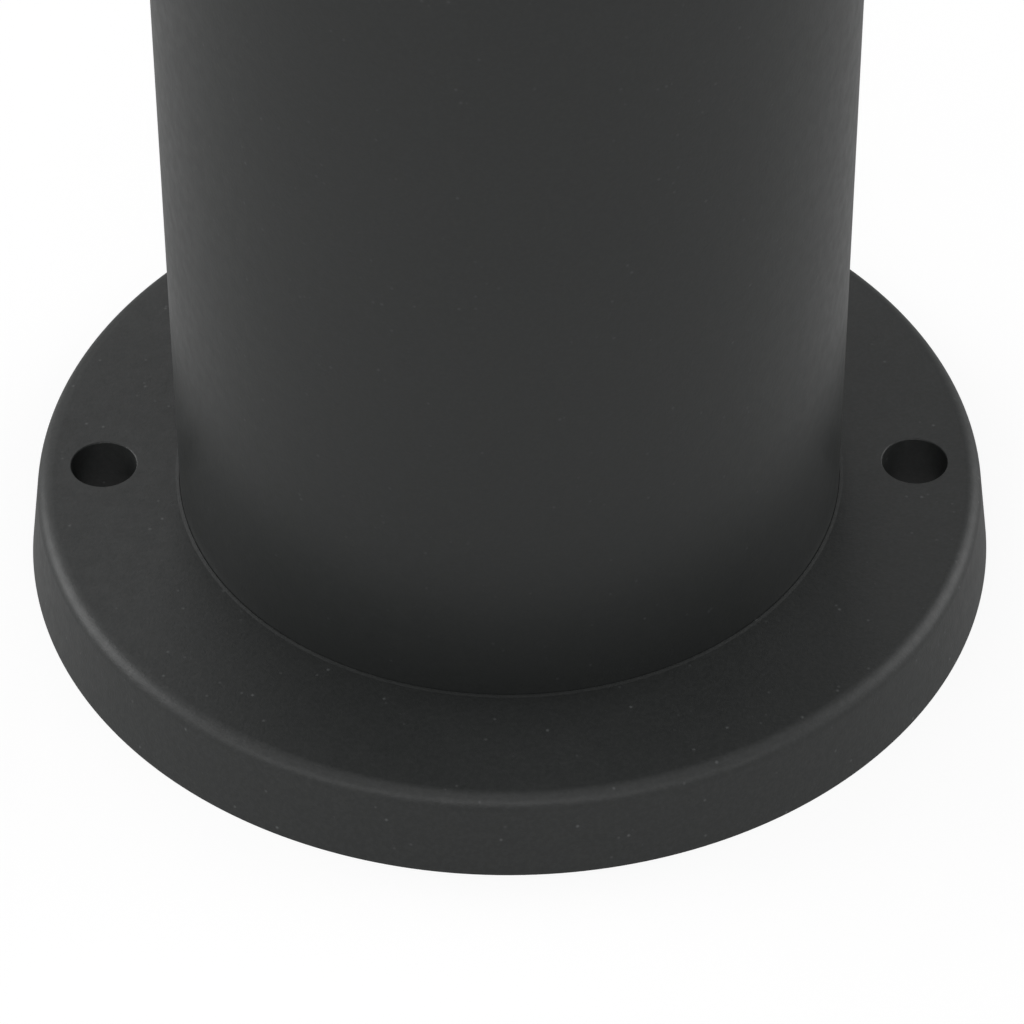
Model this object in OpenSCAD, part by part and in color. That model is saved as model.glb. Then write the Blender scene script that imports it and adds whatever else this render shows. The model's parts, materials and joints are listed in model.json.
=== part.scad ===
// Garden bollard light: a round post on a shallow two-hole foot, with a louvred band of light
// under a flush cap. The origin is on the ground at the post's axis, +Z is up, and the two
// fixing holes lie along X. Screw threads are drawn as plain cylinders with 0.05 mm of play.

/* [Post] */
// Outside diameter of the post tube
post_d = 76; // [75.6:0.1:76.4]
// Wall thickness of the post tube
post_wall = 2; // [1.8:0.1:2.2]
// Height from the ground to the top of the cap
total_h = 500; // [420:10:1100]

/* [Foot] */
// Diameter of the foot where it meets the ground
foot_d = 111; // [110.5:0.5:116]
// Height of the foot's flat top above the ground
foot_top = 10.4; // [10:0.1:11.4]
// Rounding of the foot's shoulder
shoulder_r = 2.4; // [1.6:0.1:3.4]
// Draft of the foot's outer wall, in degrees from the vertical
skirt_draft = 7; // [4:0.5:9]
// Distance between the centres of the two fixing holes
hole_spacing = 93.5; // [92.5:0.1:94]
// Diameter of the fixing holes
hole_d = 7.5; // [5.5:0.1:8]

/* [Cable] */
// Diameter of the supply cable that the grommet takes
cable_d = 8.8; // [7:0.1:9]

/* [Head] */
// Height of the clear diffuser
diffuser_h = 93; // [88:1:120]
// Height of the cap above the diffuser's upper seal
cap_h = 24; // [20:1:30]
// Number of louvre rings inside the diffuser
louvre_count = 4; // [2:1:6]

/* [Lamp] */
// Diameter of the lamp's globe
globe_d = 45; // [40:0.5:45]
// Length of the lamp from its end contact to its crown
lamp_len = 78; // [72:1:80]

/* [Hidden] */
$fn = 96;

play = 0.05;        // radial play of every screw in its thread
gap = 0.15;         // radial gap where one casting slips inside another part
cut = 1;            // how far a cutting shape runs past the face that it cuts

COAT = [0.19, 0.20, 0.20];
STEEL = [0.70, 0.71, 0.72];
BRASS = [0.80, 0.64, 0.30];
RUBBER = [0.07, 0.07, 0.07];
CLEAR = [0.85, 0.92, 0.95, 0.4];
CERAMIC = [0.93, 0.92, 0.88];
NYLON = [0.90, 0.90, 0.86];

// Tube and its three internal screw ports
post_r = post_d / 2;
bore_r = post_r - post_wall;
port_angles = [90, 210, 330];
port_wall_r = 4;                       // outside radius of a port
port_r = bore_r - port_wall_r + 0.6;   // port centres; each port runs 0.6 mm into the wall
m4_r = 1.95;                           // radius of an M4 screw's thread
m4_hole_r = m4_r + play;
m4_free_r = 2.2;                       // clearance hole for M4
m4_socket = 2.5;                       // across the flats
base_screw_len = 25;

// Foot, from the ground up
hub_r = 41.6;                          // outside of the hub ring under the plate
plate_z = 4.4;                         // underside of the middle plate
seat_z = 7.4;                          // the tube's end stands here
socket_r = post_r + 0.1;               // hole in the foot's top that the tube's end drops into
shoulder_z = foot_top - shoulder_r;
shoulder_end_z = shoulder_z + shoulder_r * sin(skirt_draft);
shoulder_mid_r = foot_d / 2 - shoulder_end_z * tan(skirt_draft) - shoulder_r * cos(skirt_draft);
flange_under_z = foot_top - 3.4;
skirt_wall = 3;
hub_wall = 3.2;
spigot_chamfer = [1.5, 2];             // on the spigot's lead-in: inward, down
spigot_r = bore_r - gap;
spigot_in_r = 32.4;
spigot_top = 24;
port_relief = 0.3;                     // the ports hang free here: the tube stands on its wall
hole_x = hole_spacing / 2;
fix_boss_r = 6.2;
gasket_t = 1.5;

// Cable entry and terminal bracket
grommet_r = 12;
entry_r = 9.5;                         // hole in the middle plate for the grommet
bracket_y = 4.9;                       // front face of the bracket, next to the cable
bracket_t = 1.5;
bracket_w = 40;
bracket_top = 74;
ear_depth = 14;
ear_x = 17;
ear_y = 14.5;
saddle_z = 24;
saddle_h = 10;
saddle_screw_x = 11;
m3_r = 1.5;
m3_head_r = 2.9;
m3_head_h = 2;
m3_socket = 2;                         // across the flats
bracket_screw_len = 5.8;
saddle_screw_len = 6;
block_screw_len = 16;
saddle_wall = 1.5;
saddle_w = 30;
pole_pitch = 10;
poles = [-pole_pitch, 0, pole_pitch];
pole_y = -3;
block_z = 44;
block_h = 18;
block_front = -13;
clamp_r = 2.6;
clamp_bore_r = 1.6;
terminal_zs = [block_z + 5, block_z + block_h - 5];

// Head, from the cap down
cap_z = total_h - cap_h;               // the cap's lower edge
seal_t = 1.5;
diffuser_top = cap_z - seal_t;
diffuser_z = diffuser_top - diffuser_h;
deck_z = diffuser_z - seal_t;          // top of the collar
deck_t = 4;
collar_z = deck_z - deck_t;            // lower edge of the collar's visible band
paper_t = 0.8;                         // gasket between the tube and the collar
tube_top = collar_z - paper_t;
diffuser_r = post_r;
diffuser_wall = 3;
locate_r = post_r - diffuser_wall - 0.2;
locate_in_r = locate_r - 1.9;
locate_h = 4;
rod_angles = [30, 150, 270];
rod_at = 28;                           // radius of the circle the tie rods stand on
rod_r = 3.5;
rod_top = cap_z - locate_h;
rod_stud = 10;
collar_bore_r = 21.5;
collar_spigot_in_r = 33.2;
collar_spigot_h = 16;
collar_boss_r = 4.5;
collar_boss_z = collar_z - 10;

// Louvres between the collar and the reflector
louvre_t = 1.2;
louvre_in_r = 23.2;
louvre_flat_r = 33.5;
louvre_lip_r = 34.4;
louvre_drop = 5;
spacer_r = 4.5;
sleeve_play = 0.1;
louvre_pitch = (rod_top - deck_z - louvre_count * louvre_t) / (louvre_count + 1);

// Lampholder hung under the collar on a bent strap
strap_t = 1.5;
strap_w = 14;
strap_drop = 24;                       // from the collar's bosses to the strap's foot
strap_x = 23;                          // inner face of a leg
strap_reach = 32.2;
strap_hole_x = 29;
strap_screw_len = 9;
earth_screw_len = 2.2;
strap_z = collar_boss_z - strap_drop;
holder_z = strap_z + strap_t;
holder_r = 20;
holder_h = 50;
holder_mouth = holder_z + holder_h;
holder_plate_t = 4.5;
holder_floor_z = holder_z + 12.5;
holder_floor_t = 6;
shell_cavity_r = 13.9;
shell_r = 13.8;
shell_wall = 0.5;
nipple_r = 5;
nipple_bore_r = 3.6;
nut_flat = 14;
lug_x = 16;
lug_y = -10;
wire_r = 1.15;
wire_z = block_z + 10.5;
wire_in_x = 1.6;
wire_top = holder_z + 8.5;

// Lamp, from its end contact up
lamp_z = holder_mouth - 27.5;
lamp_top = lamp_z + lamp_len;
globe_r = globe_d / 2;
globe_z = lamp_top - globe_r;
thread_r = 12.9;
housing_z = lamp_z + 26;
globe_cut_z = globe_z - 8;
globe_skin = 1.2;
globe_edge_r = sqrt(globe_r * globe_r - 64);

// Cap screws: socket button heads on sealing washers, sunk into the cap
cap_crown = 1.2;
cap_edge_r = 3;
cap_roof_t = 3.5;
cap_boss_r = 6.2;
cap_wall = 4.5;
reflector_t = 1;
sink_r = 5.2;
sink_z = total_h - 4;
washer_t = 0.8;
washer_r = 4.6;
head_r = 3.8;
head_h = 2.2;
cap_screw_len = 35;

function arc(x, y, r, from, to, steps) =
    [for (i = [0 : steps]) let (a = from + (to - from) * i / steps) [x + r * cos(a), y + r * sin(a)]];

module turned(outline) {
    rotate_extrude() polygon(outline);
}

module pipe(r_out, r_in, z, h) {
    translate([0, 0, z]) difference() {
        cylinder(r = r_out, h = h);
        translate([0, 0, -cut]) cylinder(r = r_in, h = h + 2 * cut);
    }
}

module disc(r, z, h) {
    translate([0, 0, z]) cylinder(r = r, h = h);
}

module around(angles, r) {
    for (a = angles) rotate([0, 0, a]) translate([r, 0, 0]) children();
}

module pair(x, y = 0) {
    for (side = [-1, 1]) translate([side * x, y, 0]) children();
}

// A straight round bar from one point to another
module bar(from, to, r) {
    d = to - from;
    run = norm([d.x, d.y]);
    translate(from) rotate([0, atan2(run, d.z), atan2(d.y, d.x)]) cylinder(r = r, h = norm(d));
}

// A socket screw: the head is below z = 0 and the thread points up
module button_screw(thread_r, length, r, h, socket) {
    rim_h = h * 0.45;
    top_r = r * 0.72;
    socket_h = h * 0.6;
    difference() {
        union() {
            cylinder(r = thread_r, h = length);
            translate([0, 0, -rim_h]) cylinder(r = r, h = rim_h);
            translate([0, 0, -h]) cylinder(r1 = top_r, r2 = r, h = h - rim_h);
        }
        translate([0, 0, -h - cut]) cylinder(r = socket / sqrt(3), h = socket_h + cut, $fn = 6);
    }
}

// ---- foot ----

function foot_outline() = concat(
    [[foot_d / 2, 0]],
    arc(shoulder_mid_r, shoulder_z, shoulder_r, skirt_draft, 90, 12),
    [
        [socket_r, foot_top], [socket_r, seat_z], [spigot_r, seat_z],
        [spigot_r, spigot_top - spigot_chamfer[1]], [spigot_r - spigot_chamfer[0], spigot_top],
        [spigot_in_r, spigot_top], [spigot_in_r, seat_z],
        [entry_r, seat_z], [entry_r, plate_z],
        [hub_r - hub_wall, plate_z], [hub_r - hub_wall, gasket_t + 0.1],
        [hub_r, gasket_t + 0.1], [hub_r, flange_under_z],
        [foot_d / 2 - skirt_wall - flange_under_z * tan(skirt_draft), flange_under_z],
        [foot_d / 2 - skirt_wall, 0]
    ]
);

module base_flange() {
    color(COAT) difference() {
        union() {
            turned(foot_outline());
            pair(hole_x) cylinder(r = fix_boss_r, h = foot_top - 2);
        }
        pair(hole_x) translate([0, 0, -cut]) cylinder(d = hole_d, h = foot_top + 2 * cut);
        around(port_angles, port_r) {
            disc(m4_free_r, plate_z - cut, seat_z - plate_z + 2 * cut);
            disc(port_wall_r + 0.4, seat_z - port_relief, spigot_top);
        }
        pair(ear_x, ear_y) disc(m4_hole_r, plate_z - cut, seat_z - plate_z + 2 * cut);
    }
}

module foot_gasket() {
    color(RUBBER) difference() {
        pipe(foot_d / 2 - skirt_wall - 0.4, hub_r - 4, 0, gasket_t);
        pair(hole_x) disc(fix_boss_r + 0.2, -cut, gasket_t + 2 * cut);
    }
}

module base_screws() {
    color(STEEL) around(port_angles, port_r) translate([0, 0, plate_z])
        button_screw(m4_r, base_screw_len, head_r, head_h, m4_socket);
}

module cable_grommet() {
    neck_r = entry_r - 0.05;
    hole_r = cable_d / 2;
    low_z = plate_z - 2.5;
    collar_h = 2;
    lip_h = 4.2;
    round_off = 1;
    color(RUBBER) turned([
        [hole_r, low_z], [grommet_r - round_off, low_z], [grommet_r, low_z + round_off],
        [grommet_r, plate_z], [neck_r, plate_z], [neck_r, seat_z],
        [grommet_r, seat_z], [grommet_r, seat_z + collar_h - 0.8],
        [grommet_r - round_off, seat_z + collar_h], [hole_r + 3, seat_z + collar_h],
        [hole_r + 1.8, seat_z + lip_h], [hole_r, seat_z + lip_h]
    ]);
}

// ---- terminals inside the bottom of the tube ----

module terminal_bracket() {
    color(STEEL) difference() {
        union() {
            translate([-bracket_w / 2, bracket_y, seat_z])
                cube([bracket_w, bracket_t, bracket_top - seat_z]);
            translate([-bracket_w / 2, bracket_y, seat_z])
                cube([bracket_w, ear_depth, bracket_t]);
        }
        disc(grommet_r + 1, seat_z - cut, 5 + cut);
        pair(ear_x, ear_y) disc(m4_free_r, seat_z - cut, bracket_t + 2 * cut);
        pair(saddle_screw_x, bracket_y) bracket_hole(saddle_z + saddle_h / 2);
        pair(pole_pitch / 2, bracket_y) bracket_hole(block_z + block_h / 2);
    }
}

module bracket_hole(z) {
    translate([0, -cut, z]) rotate([-90, 0, 0]) cylinder(r = m3_r + play, h = bracket_t + 2 * cut);
}

module bracket_screws() {
    color(STEEL) pair(ear_x, ear_y) translate([0, 0, seat_z + bracket_t]) mirror([0, 0, 1])
        button_screw(m4_r, bracket_screw_len, head_r, head_h, m4_socket);
}

module cable_saddle() {
    in_r = cable_d / 2 + 0.2;
    out_r = in_r + saddle_wall;
    color(NYLON) difference() {
        translate([0, 0, saddle_z]) linear_extrude(saddle_h) difference() {
            union() {
                circle(r = out_r);
                translate([-saddle_w / 2, bracket_y - saddle_wall]) square([saddle_w, saddle_wall]);
            }
            circle(r = in_r);
            translate([-in_r, 0]) square([2 * in_r, bracket_y + cut]);
            translate([-saddle_w, bracket_y]) square([2 * saddle_w, saddle_w]);
        }
        pair(saddle_screw_x) translate([0, 0, saddle_z + saddle_h / 2]) rotate([-90, 0, 0])
            cylinder(r = m3_r + 0.1, h = 10);
    }
}

module saddle_screws() {
    color(STEEL) pair(saddle_screw_x, bracket_y - saddle_wall)
        translate([0, 0, saddle_z + saddle_h / 2]) rotate([-90, 0, 0])
            button_screw(m3_r, saddle_screw_len, m3_head_r, m3_head_h, m3_socket);
}

module terminal_block() {
    depth = bracket_y - block_front;
    width = 3 * pole_pitch + 2;
    color(NYLON) difference() {
        translate([-width / 2, block_front, block_z]) cube([width, depth, block_h]);
        for (x = poles) translate([x, pole_y, block_z - cut])
            cylinder(r = clamp_r + play, h = block_h + 2 * cut);
        for (x = poles, z = terminal_zs) translate([x, block_front - cut, z]) rotate([-90, 0, 0])
            cylinder(r = 1.9, h = pole_y - block_front + cut - 2);
        for (x = [-1, 1] * pole_pitch / 2) translate([x, block_front - cut, block_z + block_h / 2])
            rotate([-90, 0, 0]) {
                cylinder(r = m3_r + 0.1, h = depth + 2 * cut);
                cylinder(r = m3_head_r + 0.1, h = 5 + cut);
            }
        for (x = [-1, 1] * pole_pitch / 2) translate([x - 0.6, block_front - cut, block_z - cut])
            cube([1.2, 2 + cut, block_h + 2 * cut]);
    }
}

module block_screws() {
    color(STEEL) pair(pole_pitch / 2, block_front + 5)
        translate([0, 0, block_z + block_h / 2]) rotate([-90, 0, 0])
            button_screw(m3_r, block_screw_len, m3_head_r, m3_head_h, m3_socket);
}

module terminal_clamps() {
    color(BRASS) for (x = poles) translate([x, pole_y, 0]) difference() {
        pipe(clamp_r, clamp_bore_r, block_z + 1, block_h - 2);
        for (z = terminal_zs) translate([0, 0, z]) rotate([90, 0, 0]) cylinder(r = 1.3, h = 5);
    }
}

module terminal_screws() {
    color(STEEL) for (x = poles, z = terminal_zs)
        translate([x, block_front + 6.4, z]) rotate([-90, 0, 0]) difference() {
            union() {
                cylinder(r = 1.25, h = 2.3);
                translate([0, 0, -2]) cylinder(r = 1.8, h = 2);
            }
            translate([-2, -0.25, -3]) cube([4, 0.5, 1.8]);
        }
}

// ---- wires from the terminals up to the lampholder ----

function wire_at(x0, x1, y1, z1, z) =
    let (t = (z - wire_z) / (z1 - wire_z)) [x0 + (x1 - x0) * t, pole_y + (y1 - pole_y) * t, z];

module live_wire() {
    color("saddlebrown") bar(
        [-pole_pitch, pole_y, wire_z], [-wire_in_x, 0, wire_top], wire_r);
}

module neutral_wire() {
    color("royalblue") bar([pole_pitch, pole_y, wire_z], [wire_in_x, 0, wire_top], wire_r);
}

module earth_wire() {
    color("limegreen") bar([0, pole_y, wire_z], [lug_x, lug_y, strap_z - 6], wire_r);
}

module wire_sleeves() {
    low = strap_z - 92;
    high = strap_z - 15;
    color("ivory") for (side = [-1, 1]) difference() {
        bar(wire_at(side * pole_pitch, side * wire_in_x, 0, wire_top, low),
            wire_at(side * pole_pitch, side * wire_in_x, 0, wire_top, high), wire_r + 0.6);
        bar(wire_at(side * pole_pitch, side * wire_in_x, 0, wire_top, low - cut),
            wire_at(side * pole_pitch, side * wire_in_x, 0, wire_top, high + cut), wire_r + 0.1);
    }
}

// ---- post tube and the collar on top of it ----

module post_tube() {
    slot = 1.6;
    color(COAT) translate([0, 0, seat_z]) linear_extrude(tube_top - seat_z) difference() {
        union() {
            difference() {
                circle(r = post_r);
                circle(r = bore_r);
            }
            around(port_angles, port_r) circle(r = port_wall_r);
        }
        around(port_angles, port_r) {
            circle(r = m4_hole_r);
            translate([-port_wall_r - cut, -slot / 2]) square([port_wall_r + cut, slot]);
        }
    }
}

module collar_gasket() {
    color(RUBBER) pipe(post_r - 0.25, bore_r, tube_top, paper_t);
}

module head_collar() {
    color(COAT) difference() {
        union() {
            turned([
                [post_r - 0.4, collar_z], [post_r, collar_z + 0.4],
                [post_r, deck_z - 0.4], [post_r - 0.4, deck_z],
                [locate_r, deck_z], [locate_r, deck_z + locate_h - 0.6],
                [locate_r - 0.6, deck_z + locate_h], [locate_in_r, deck_z + locate_h],
                [locate_in_r, deck_z], [collar_bore_r, deck_z], [collar_bore_r, collar_z],
                [collar_spigot_in_r, collar_z], [collar_spigot_in_r, collar_z - collar_spigot_h],
                [spigot_r - 1, collar_z - collar_spigot_h], [spigot_r, collar_z - collar_spigot_h + 1],
                [spigot_r, collar_z]
            ]);
            around(rod_angles, rod_at) disc(collar_boss_r, collar_boss_z, deck_z - collar_boss_z);
            pair(strap_hole_x) disc(collar_boss_r, collar_boss_z, deck_z - collar_boss_z);
        }
        around(rod_angles, rod_at) disc(m4_hole_r, collar_boss_z - cut, deck_z - collar_boss_z + 2 * cut);
        pair(strap_hole_x) disc(m4_hole_r, collar_boss_z - cut, 8.5 + cut);
        around(port_angles, port_r) {
            disc(m4_free_r, collar_z - cut, deck_t + 2 * cut);
            translate([0, 0, deck_z - head_h]) cylinder(r1 = m4_free_r, r2 = head_r + 0.1, h = head_h);
            disc(head_r + 0.1, deck_z, locate_h + cut);
            disc(port_wall_r + 0.5, collar_z - collar_spigot_h - cut, collar_spigot_h + cut);
        }
    }
}

module collar_screws() {
    length = 20;
    color(STEEL) around(port_angles, port_r) translate([0, 0, deck_z]) difference() {
        union() {
            disc(m4_r, -length, length - head_h / 2);
            translate([0, 0, -head_h]) cylinder(r1 = m4_r, r2 = head_r - 0.1, h = head_h);
        }
        translate([0, 0, -1.3]) cylinder(r = 2.5 / sqrt(3), h = 1.3 + cut, $fn = 6);
    }
}

// ---- lampholder ----

module lampholder_strap() {
    leg_out = strap_x + strap_t;
    color(STEEL) difference() {
        translate([0, strap_w / 2, 0]) rotate([90, 0, 0]) linear_extrude(strap_w) polygon([
            [-leg_out, strap_z], [leg_out, strap_z],
            [leg_out, collar_boss_z - strap_t], [strap_reach, collar_boss_z - strap_t],
            [strap_reach, collar_boss_z], [strap_x, collar_boss_z], [strap_x, holder_z],
            [-strap_x, holder_z], [-strap_x, collar_boss_z], [-strap_reach, collar_boss_z],
            [-strap_reach, collar_boss_z - strap_t], [-leg_out, collar_boss_z - strap_t]
        ]);
        disc(nipple_r + 0.15, strap_z - cut, strap_t + 2 * cut);
        translate([lug_x, 0, strap_z - cut]) cylinder(r = m4_hole_r, h = strap_t + 2 * cut);
        pair(strap_hole_x) disc(m4_free_r, collar_boss_z - strap_t - cut, strap_t + 2 * cut);
    }
}

module strap_screws() {
    color(STEEL) pair(strap_hole_x) translate([0, 0, collar_boss_z - strap_t])
        button_screw(m4_r, strap_screw_len, head_r - 0.1, head_h, m4_socket);
}

module earth_lug() {
    lug_t = 0.8;
    color(BRASS) difference() {
        union() {
            translate([lug_x, 0, strap_z - lug_t]) cylinder(r = 4.2, h = lug_t);
            translate([lug_x - 2.2, lug_y, strap_z - lug_t]) cube([4.4, -lug_y, lug_t]);
            translate([lug_x, lug_y, strap_z - 9]) cylinder(r = 2.4, h = 9);
        }
        translate([lug_x, 0, strap_z - 2]) cylinder(r = m4_r + 0.2, h = 3);
        translate([lug_x, lug_y, strap_z - 10]) cylinder(r = 1.75, h = 9);
    }
}

module earth_screw() {
    color(BRASS) translate([lug_x, 0, strap_z - 0.8])
        button_screw(m4_r, earth_screw_len, head_r - 0.2, head_h, m4_socket);
}

module lampholder_body() {
    color(CERAMIC) difference() {
        turned([
            [0, holder_z], [holder_r - 1, holder_z], [holder_r, holder_z + 1],
            [holder_r, holder_z + 31], [holder_r - 2, holder_z + 34], [holder_r - 2, holder_mouth - 1.5],
            [holder_r - 3.5, holder_mouth], [0, holder_mouth]
        ]);
        disc(nipple_r + play, holder_z - cut, holder_plate_t + 2 * cut);
        disc(15, holder_z + holder_plate_t, holder_floor_z - holder_z - holder_plate_t);
        disc(shell_cavity_r, holder_floor_z + holder_floor_t, holder_h);
        translate([-7, 0, holder_floor_z - cut]) cylinder(r = 1.25, h = holder_floor_t + 2 * cut);
    }
}

module lampholder_shell() {
    z = holder_floor_z + holder_floor_t;
    color(BRASS) pipe(shell_r, shell_r - shell_wall, z + 3.4, holder_mouth - z - 6);
}

module centre_contact() {
    z = holder_floor_z + holder_floor_t;
    leaf = 0.6;
    rise = lamp_z - z - leaf - 0.1;
    color(BRASS) {
        translate([0, 2.5, 0]) rotate([90, 0, 0]) linear_extrude(5) polygon([
            [-9.5, z], [-5, z], [-1.5, z + rise], [3, z + rise],
            [3, z + rise + leaf], [-1.8, z + rise + leaf], [-5.3, z + leaf], [-9.5, z + leaf]
        ]);
        translate([-7, 0, holder_floor_z - 1.5]) cylinder(r = 1.2, h = holder_floor_t + 1.5);
    }
}

module holder_terminals() {
    z = holder_floor_z - 5;
    color(BRASS) difference() {
        for (x = [-11.5, 5.5]) translate([x, -3, z]) cube([6, 6, 5 - play]);
        translate([-7, 0, z - cut]) cylinder(r = 1.25, h = 5 + 2 * cut);
        for (x = [-1, 1]) translate([x * 9.6, -3 - cut, z + 2]) rotate([-90, 0, 0])
            cylinder(r = 1, h = 6 + 2 * cut);
    }
}

module holder_nipple() {
    color(STEEL) pipe(nipple_r, nipple_bore_r, strap_z - 7, strap_t + holder_plate_t + 8.5);
}

module nipple_nut() {
    nut_h = 3.5;
    color(STEEL) difference() {
        translate([0, 0, strap_z - nut_h]) cylinder(r = nut_flat / sqrt(3), h = nut_h, $fn = 6);
        disc(nipple_r + play, strap_z - nut_h - cut, nut_h + 2 * cut);
    }
}

// ---- louvre stack ----

module tie_rods() {
    color(STEEL) around(rod_angles, rod_at) difference() {
        union() {
            disc(rod_r, deck_z, rod_top - deck_z);
            disc(m4_r, deck_z - rod_stud, rod_stud + cut);
        }
        disc(m4_hole_r, rod_top - 14, 14 + cut);
    }
}

function louvre_z(i) = deck_z + louvre_pitch + i * (louvre_pitch + louvre_t);

module louvre_rings() {
    lip_t = 0.9;
    color(COAT) for (i = [0 : louvre_count - 1]) translate([0, 0, louvre_z(i)]) difference() {
        turned([
            [louvre_in_r, 0], [louvre_flat_r - lip_t, 0], [louvre_lip_r - lip_t, -louvre_drop],
            [louvre_lip_r, -louvre_drop], [louvre_flat_r, louvre_t], [louvre_in_r, louvre_t]
        ]);
        around(rod_angles, rod_at) disc(rod_r + sleeve_play, -cut, louvre_t + 2 * cut);
    }
}

module louvre_spacers() {
    color(STEEL) for (i = [0 : louvre_count]) around(rod_angles, rod_at)
        pipe(spacer_r, rod_r + sleeve_play, deck_z + i * (louvre_pitch + louvre_t), louvre_pitch);
}

// ---- removable head ----

module lower_seal() {
    color(RUBBER) pipe(diffuser_r - 0.4, locate_r + 0.3, deck_z, seal_t);
}

module diffuser() {
    color(CLEAR) pipe(diffuser_r, diffuser_r - diffuser_wall, diffuser_z, diffuser_h);
}

module upper_seal() {
    color(RUBBER) pipe(diffuser_r - 0.4, locate_r + 0.3, diffuser_top, seal_t);
}

module cap_reflector() {
    color("white") difference() {
        turned([
            [0, rod_top - 5], [14, rod_top], [locate_in_r - 0.5, rod_top],
            [locate_in_r - 0.5, rod_top + reflector_t], [14, rod_top + reflector_t], [0, rod_top - 4]
        ]);
        around(rod_angles, rod_at) disc(m4_free_r, rod_top - cut, reflector_t + 2 * cut);
    }
}

module top_cap() {
    crown_r = (pow(post_r - cap_edge_r, 2) + cap_crown * cap_crown) / (2 * cap_crown);
    rim_z = total_h - cap_crown;
    crown_tilt = asin((post_r - cap_edge_r) / crown_r);
    in_r = post_r - cap_wall;
    color(COAT) difference() {
        union() {
            turned(concat(
                [[post_r - 0.4, cap_z], [post_r, cap_z + 0.4]],
                arc(post_r - cap_edge_r, rim_z - cap_edge_r, cap_edge_r, 0, 90 - crown_tilt, 8),
                [for (i = [1 : 8]) let (r = (post_r - cap_edge_r) * (1 - i / 8))
                    [r, total_h - crown_r + sqrt(crown_r * crown_r - r * r)]],
                [
                    [0, total_h - cap_roof_t], [in_r - 3, total_h - cap_roof_t],
                    [in_r, total_h - cap_roof_t - 3], [in_r, cap_z + 2], [locate_in_r, cap_z + 2],
                    [locate_in_r, rod_top], [locate_r - 0.6, rod_top],
                    [locate_r, rod_top + 0.6], [locate_r, cap_z]
                ]
            ));
            around(rod_angles, rod_at) disc(
                cap_boss_r, rod_top + reflector_t + play, total_h - cap_roof_t - rod_top - reflector_t);
        }
        around(rod_angles, rod_at) {
            disc(m4_free_r, rod_top, cap_h + locate_h + cut);
            disc(sink_r, sink_z, cap_h);
        }
    }
}

module cap_washer(i) {
    color(NYLON) rotate([0, 0, rod_angles[i]]) translate([rod_at, 0, 0])
        pipe(washer_r, m4_r + 0.15, sink_z, washer_t);
}

module cap_washer_1() cap_washer(0);
module cap_washer_2() cap_washer(1);
module cap_washer_3() cap_washer(2);

module cap_screw(i) {
    color(STEEL) rotate([0, 0, rod_angles[i]]) translate([rod_at, 0, sink_z + washer_t])
        mirror([0, 0, 1]) button_screw(m4_r, cap_screw_len, head_r, head_h, m4_socket);
}

module cap_screw_1() cap_screw(0);
module cap_screw_2() cap_screw(1);
module cap_screw_3() cap_screw(2);

// ---- lamp ----

module lamp_globe() {
    edge_angle = -asin(8 / globe_r);
    skin_r = globe_r - globe_skin;
    skin_angle = -asin(8 / skin_r);
    color("white") turned(concat(
        arc(0, globe_z, globe_r, edge_angle, 90, 20),
        arc(0, globe_z, skin_r, 90, skin_angle, 20)
    ));
}

module lamp_housing() {
    color("whitesmoke") turned([
        [0, housing_z - 4], [thread_r - 1, housing_z - 4], [thread_r - 1, housing_z],
        [thread_r + 0.2, housing_z], [thread_r + 0.2, housing_z + 3],
        [14.6, housing_z + 6], [16.8, housing_z + 9], [globe_edge_r - 0.6, globe_cut_z - 1.5],
        [globe_edge_r, globe_cut_z], [0, globe_cut_z]
    ]);
}

module lamp_cap() {
    skin = 0.4;
    foot_z = lamp_z + 4.2;
    color(STEEL) turned([
        [9, foot_z], [thread_r - 1.5, foot_z], [thread_r, foot_z + 2], [thread_r, housing_z],
        [thread_r - skin, housing_z], [thread_r - skin, foot_z + 2.2],
        [thread_r - 1.7, foot_z + skin], [9, foot_z + skin]
    ]);
}

module lamp_insulator() {
    color([0.06, 0.06, 0.07]) turned([
        [0, lamp_z + 1.4], [5, lamp_z + 1.4], [9, lamp_z + 4.2], [9, lamp_z + 5], [0, lamp_z + 5]
    ]);
}

module lamp_contact() {
    color(STEEL) turned([
        [0, lamp_z], [3.2, lamp_z], [4.8, lamp_z + 0.8], [4.8, lamp_z + 1.4], [0, lamp_z + 1.4]
    ]);
}

base_flange();
foot_gasket();
base_screws();
cable_grommet();
terminal_bracket();
bracket_screws();
cable_saddle();
saddle_screws();
terminal_block();
block_screws();
terminal_clamps();
terminal_screws();
live_wire();
neutral_wire();
earth_wire();
wire_sleeves();
post_tube();
collar_gasket();
head_collar();
collar_screws();
lampholder_strap();
strap_screws();
earth_lug();
earth_screw();
lampholder_body();
lampholder_shell();
centre_contact();
holder_terminals();
holder_nipple();
nipple_nut();
tie_rods();
louvre_rings();
louvre_spacers();
lower_seal();
diffuser();
upper_seal();
cap_reflector();
top_cap();
cap_washer_1();
cap_washer_2();
cap_washer_3();
cap_screw_1();
cap_screw_2();
cap_screw_3();
lamp_globe();
lamp_housing();
lamp_cap();
lamp_insulator();
lamp_contact();
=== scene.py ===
"""Looks of the garden bollard light. Every piece that shows is rebuilt as a fine mesh around the
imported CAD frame: solids of revolution with rounded edges, cut and joined by exact booleans, real
threads on the screws and the lamp, and node-based materials. Outlines are in millimetres and in
the CAD frame: the origin is on the ground at the post's axis, +Z is up."""

import json
import math

import bmesh
import bpy
from mathutils import Matrix, Vector


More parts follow.
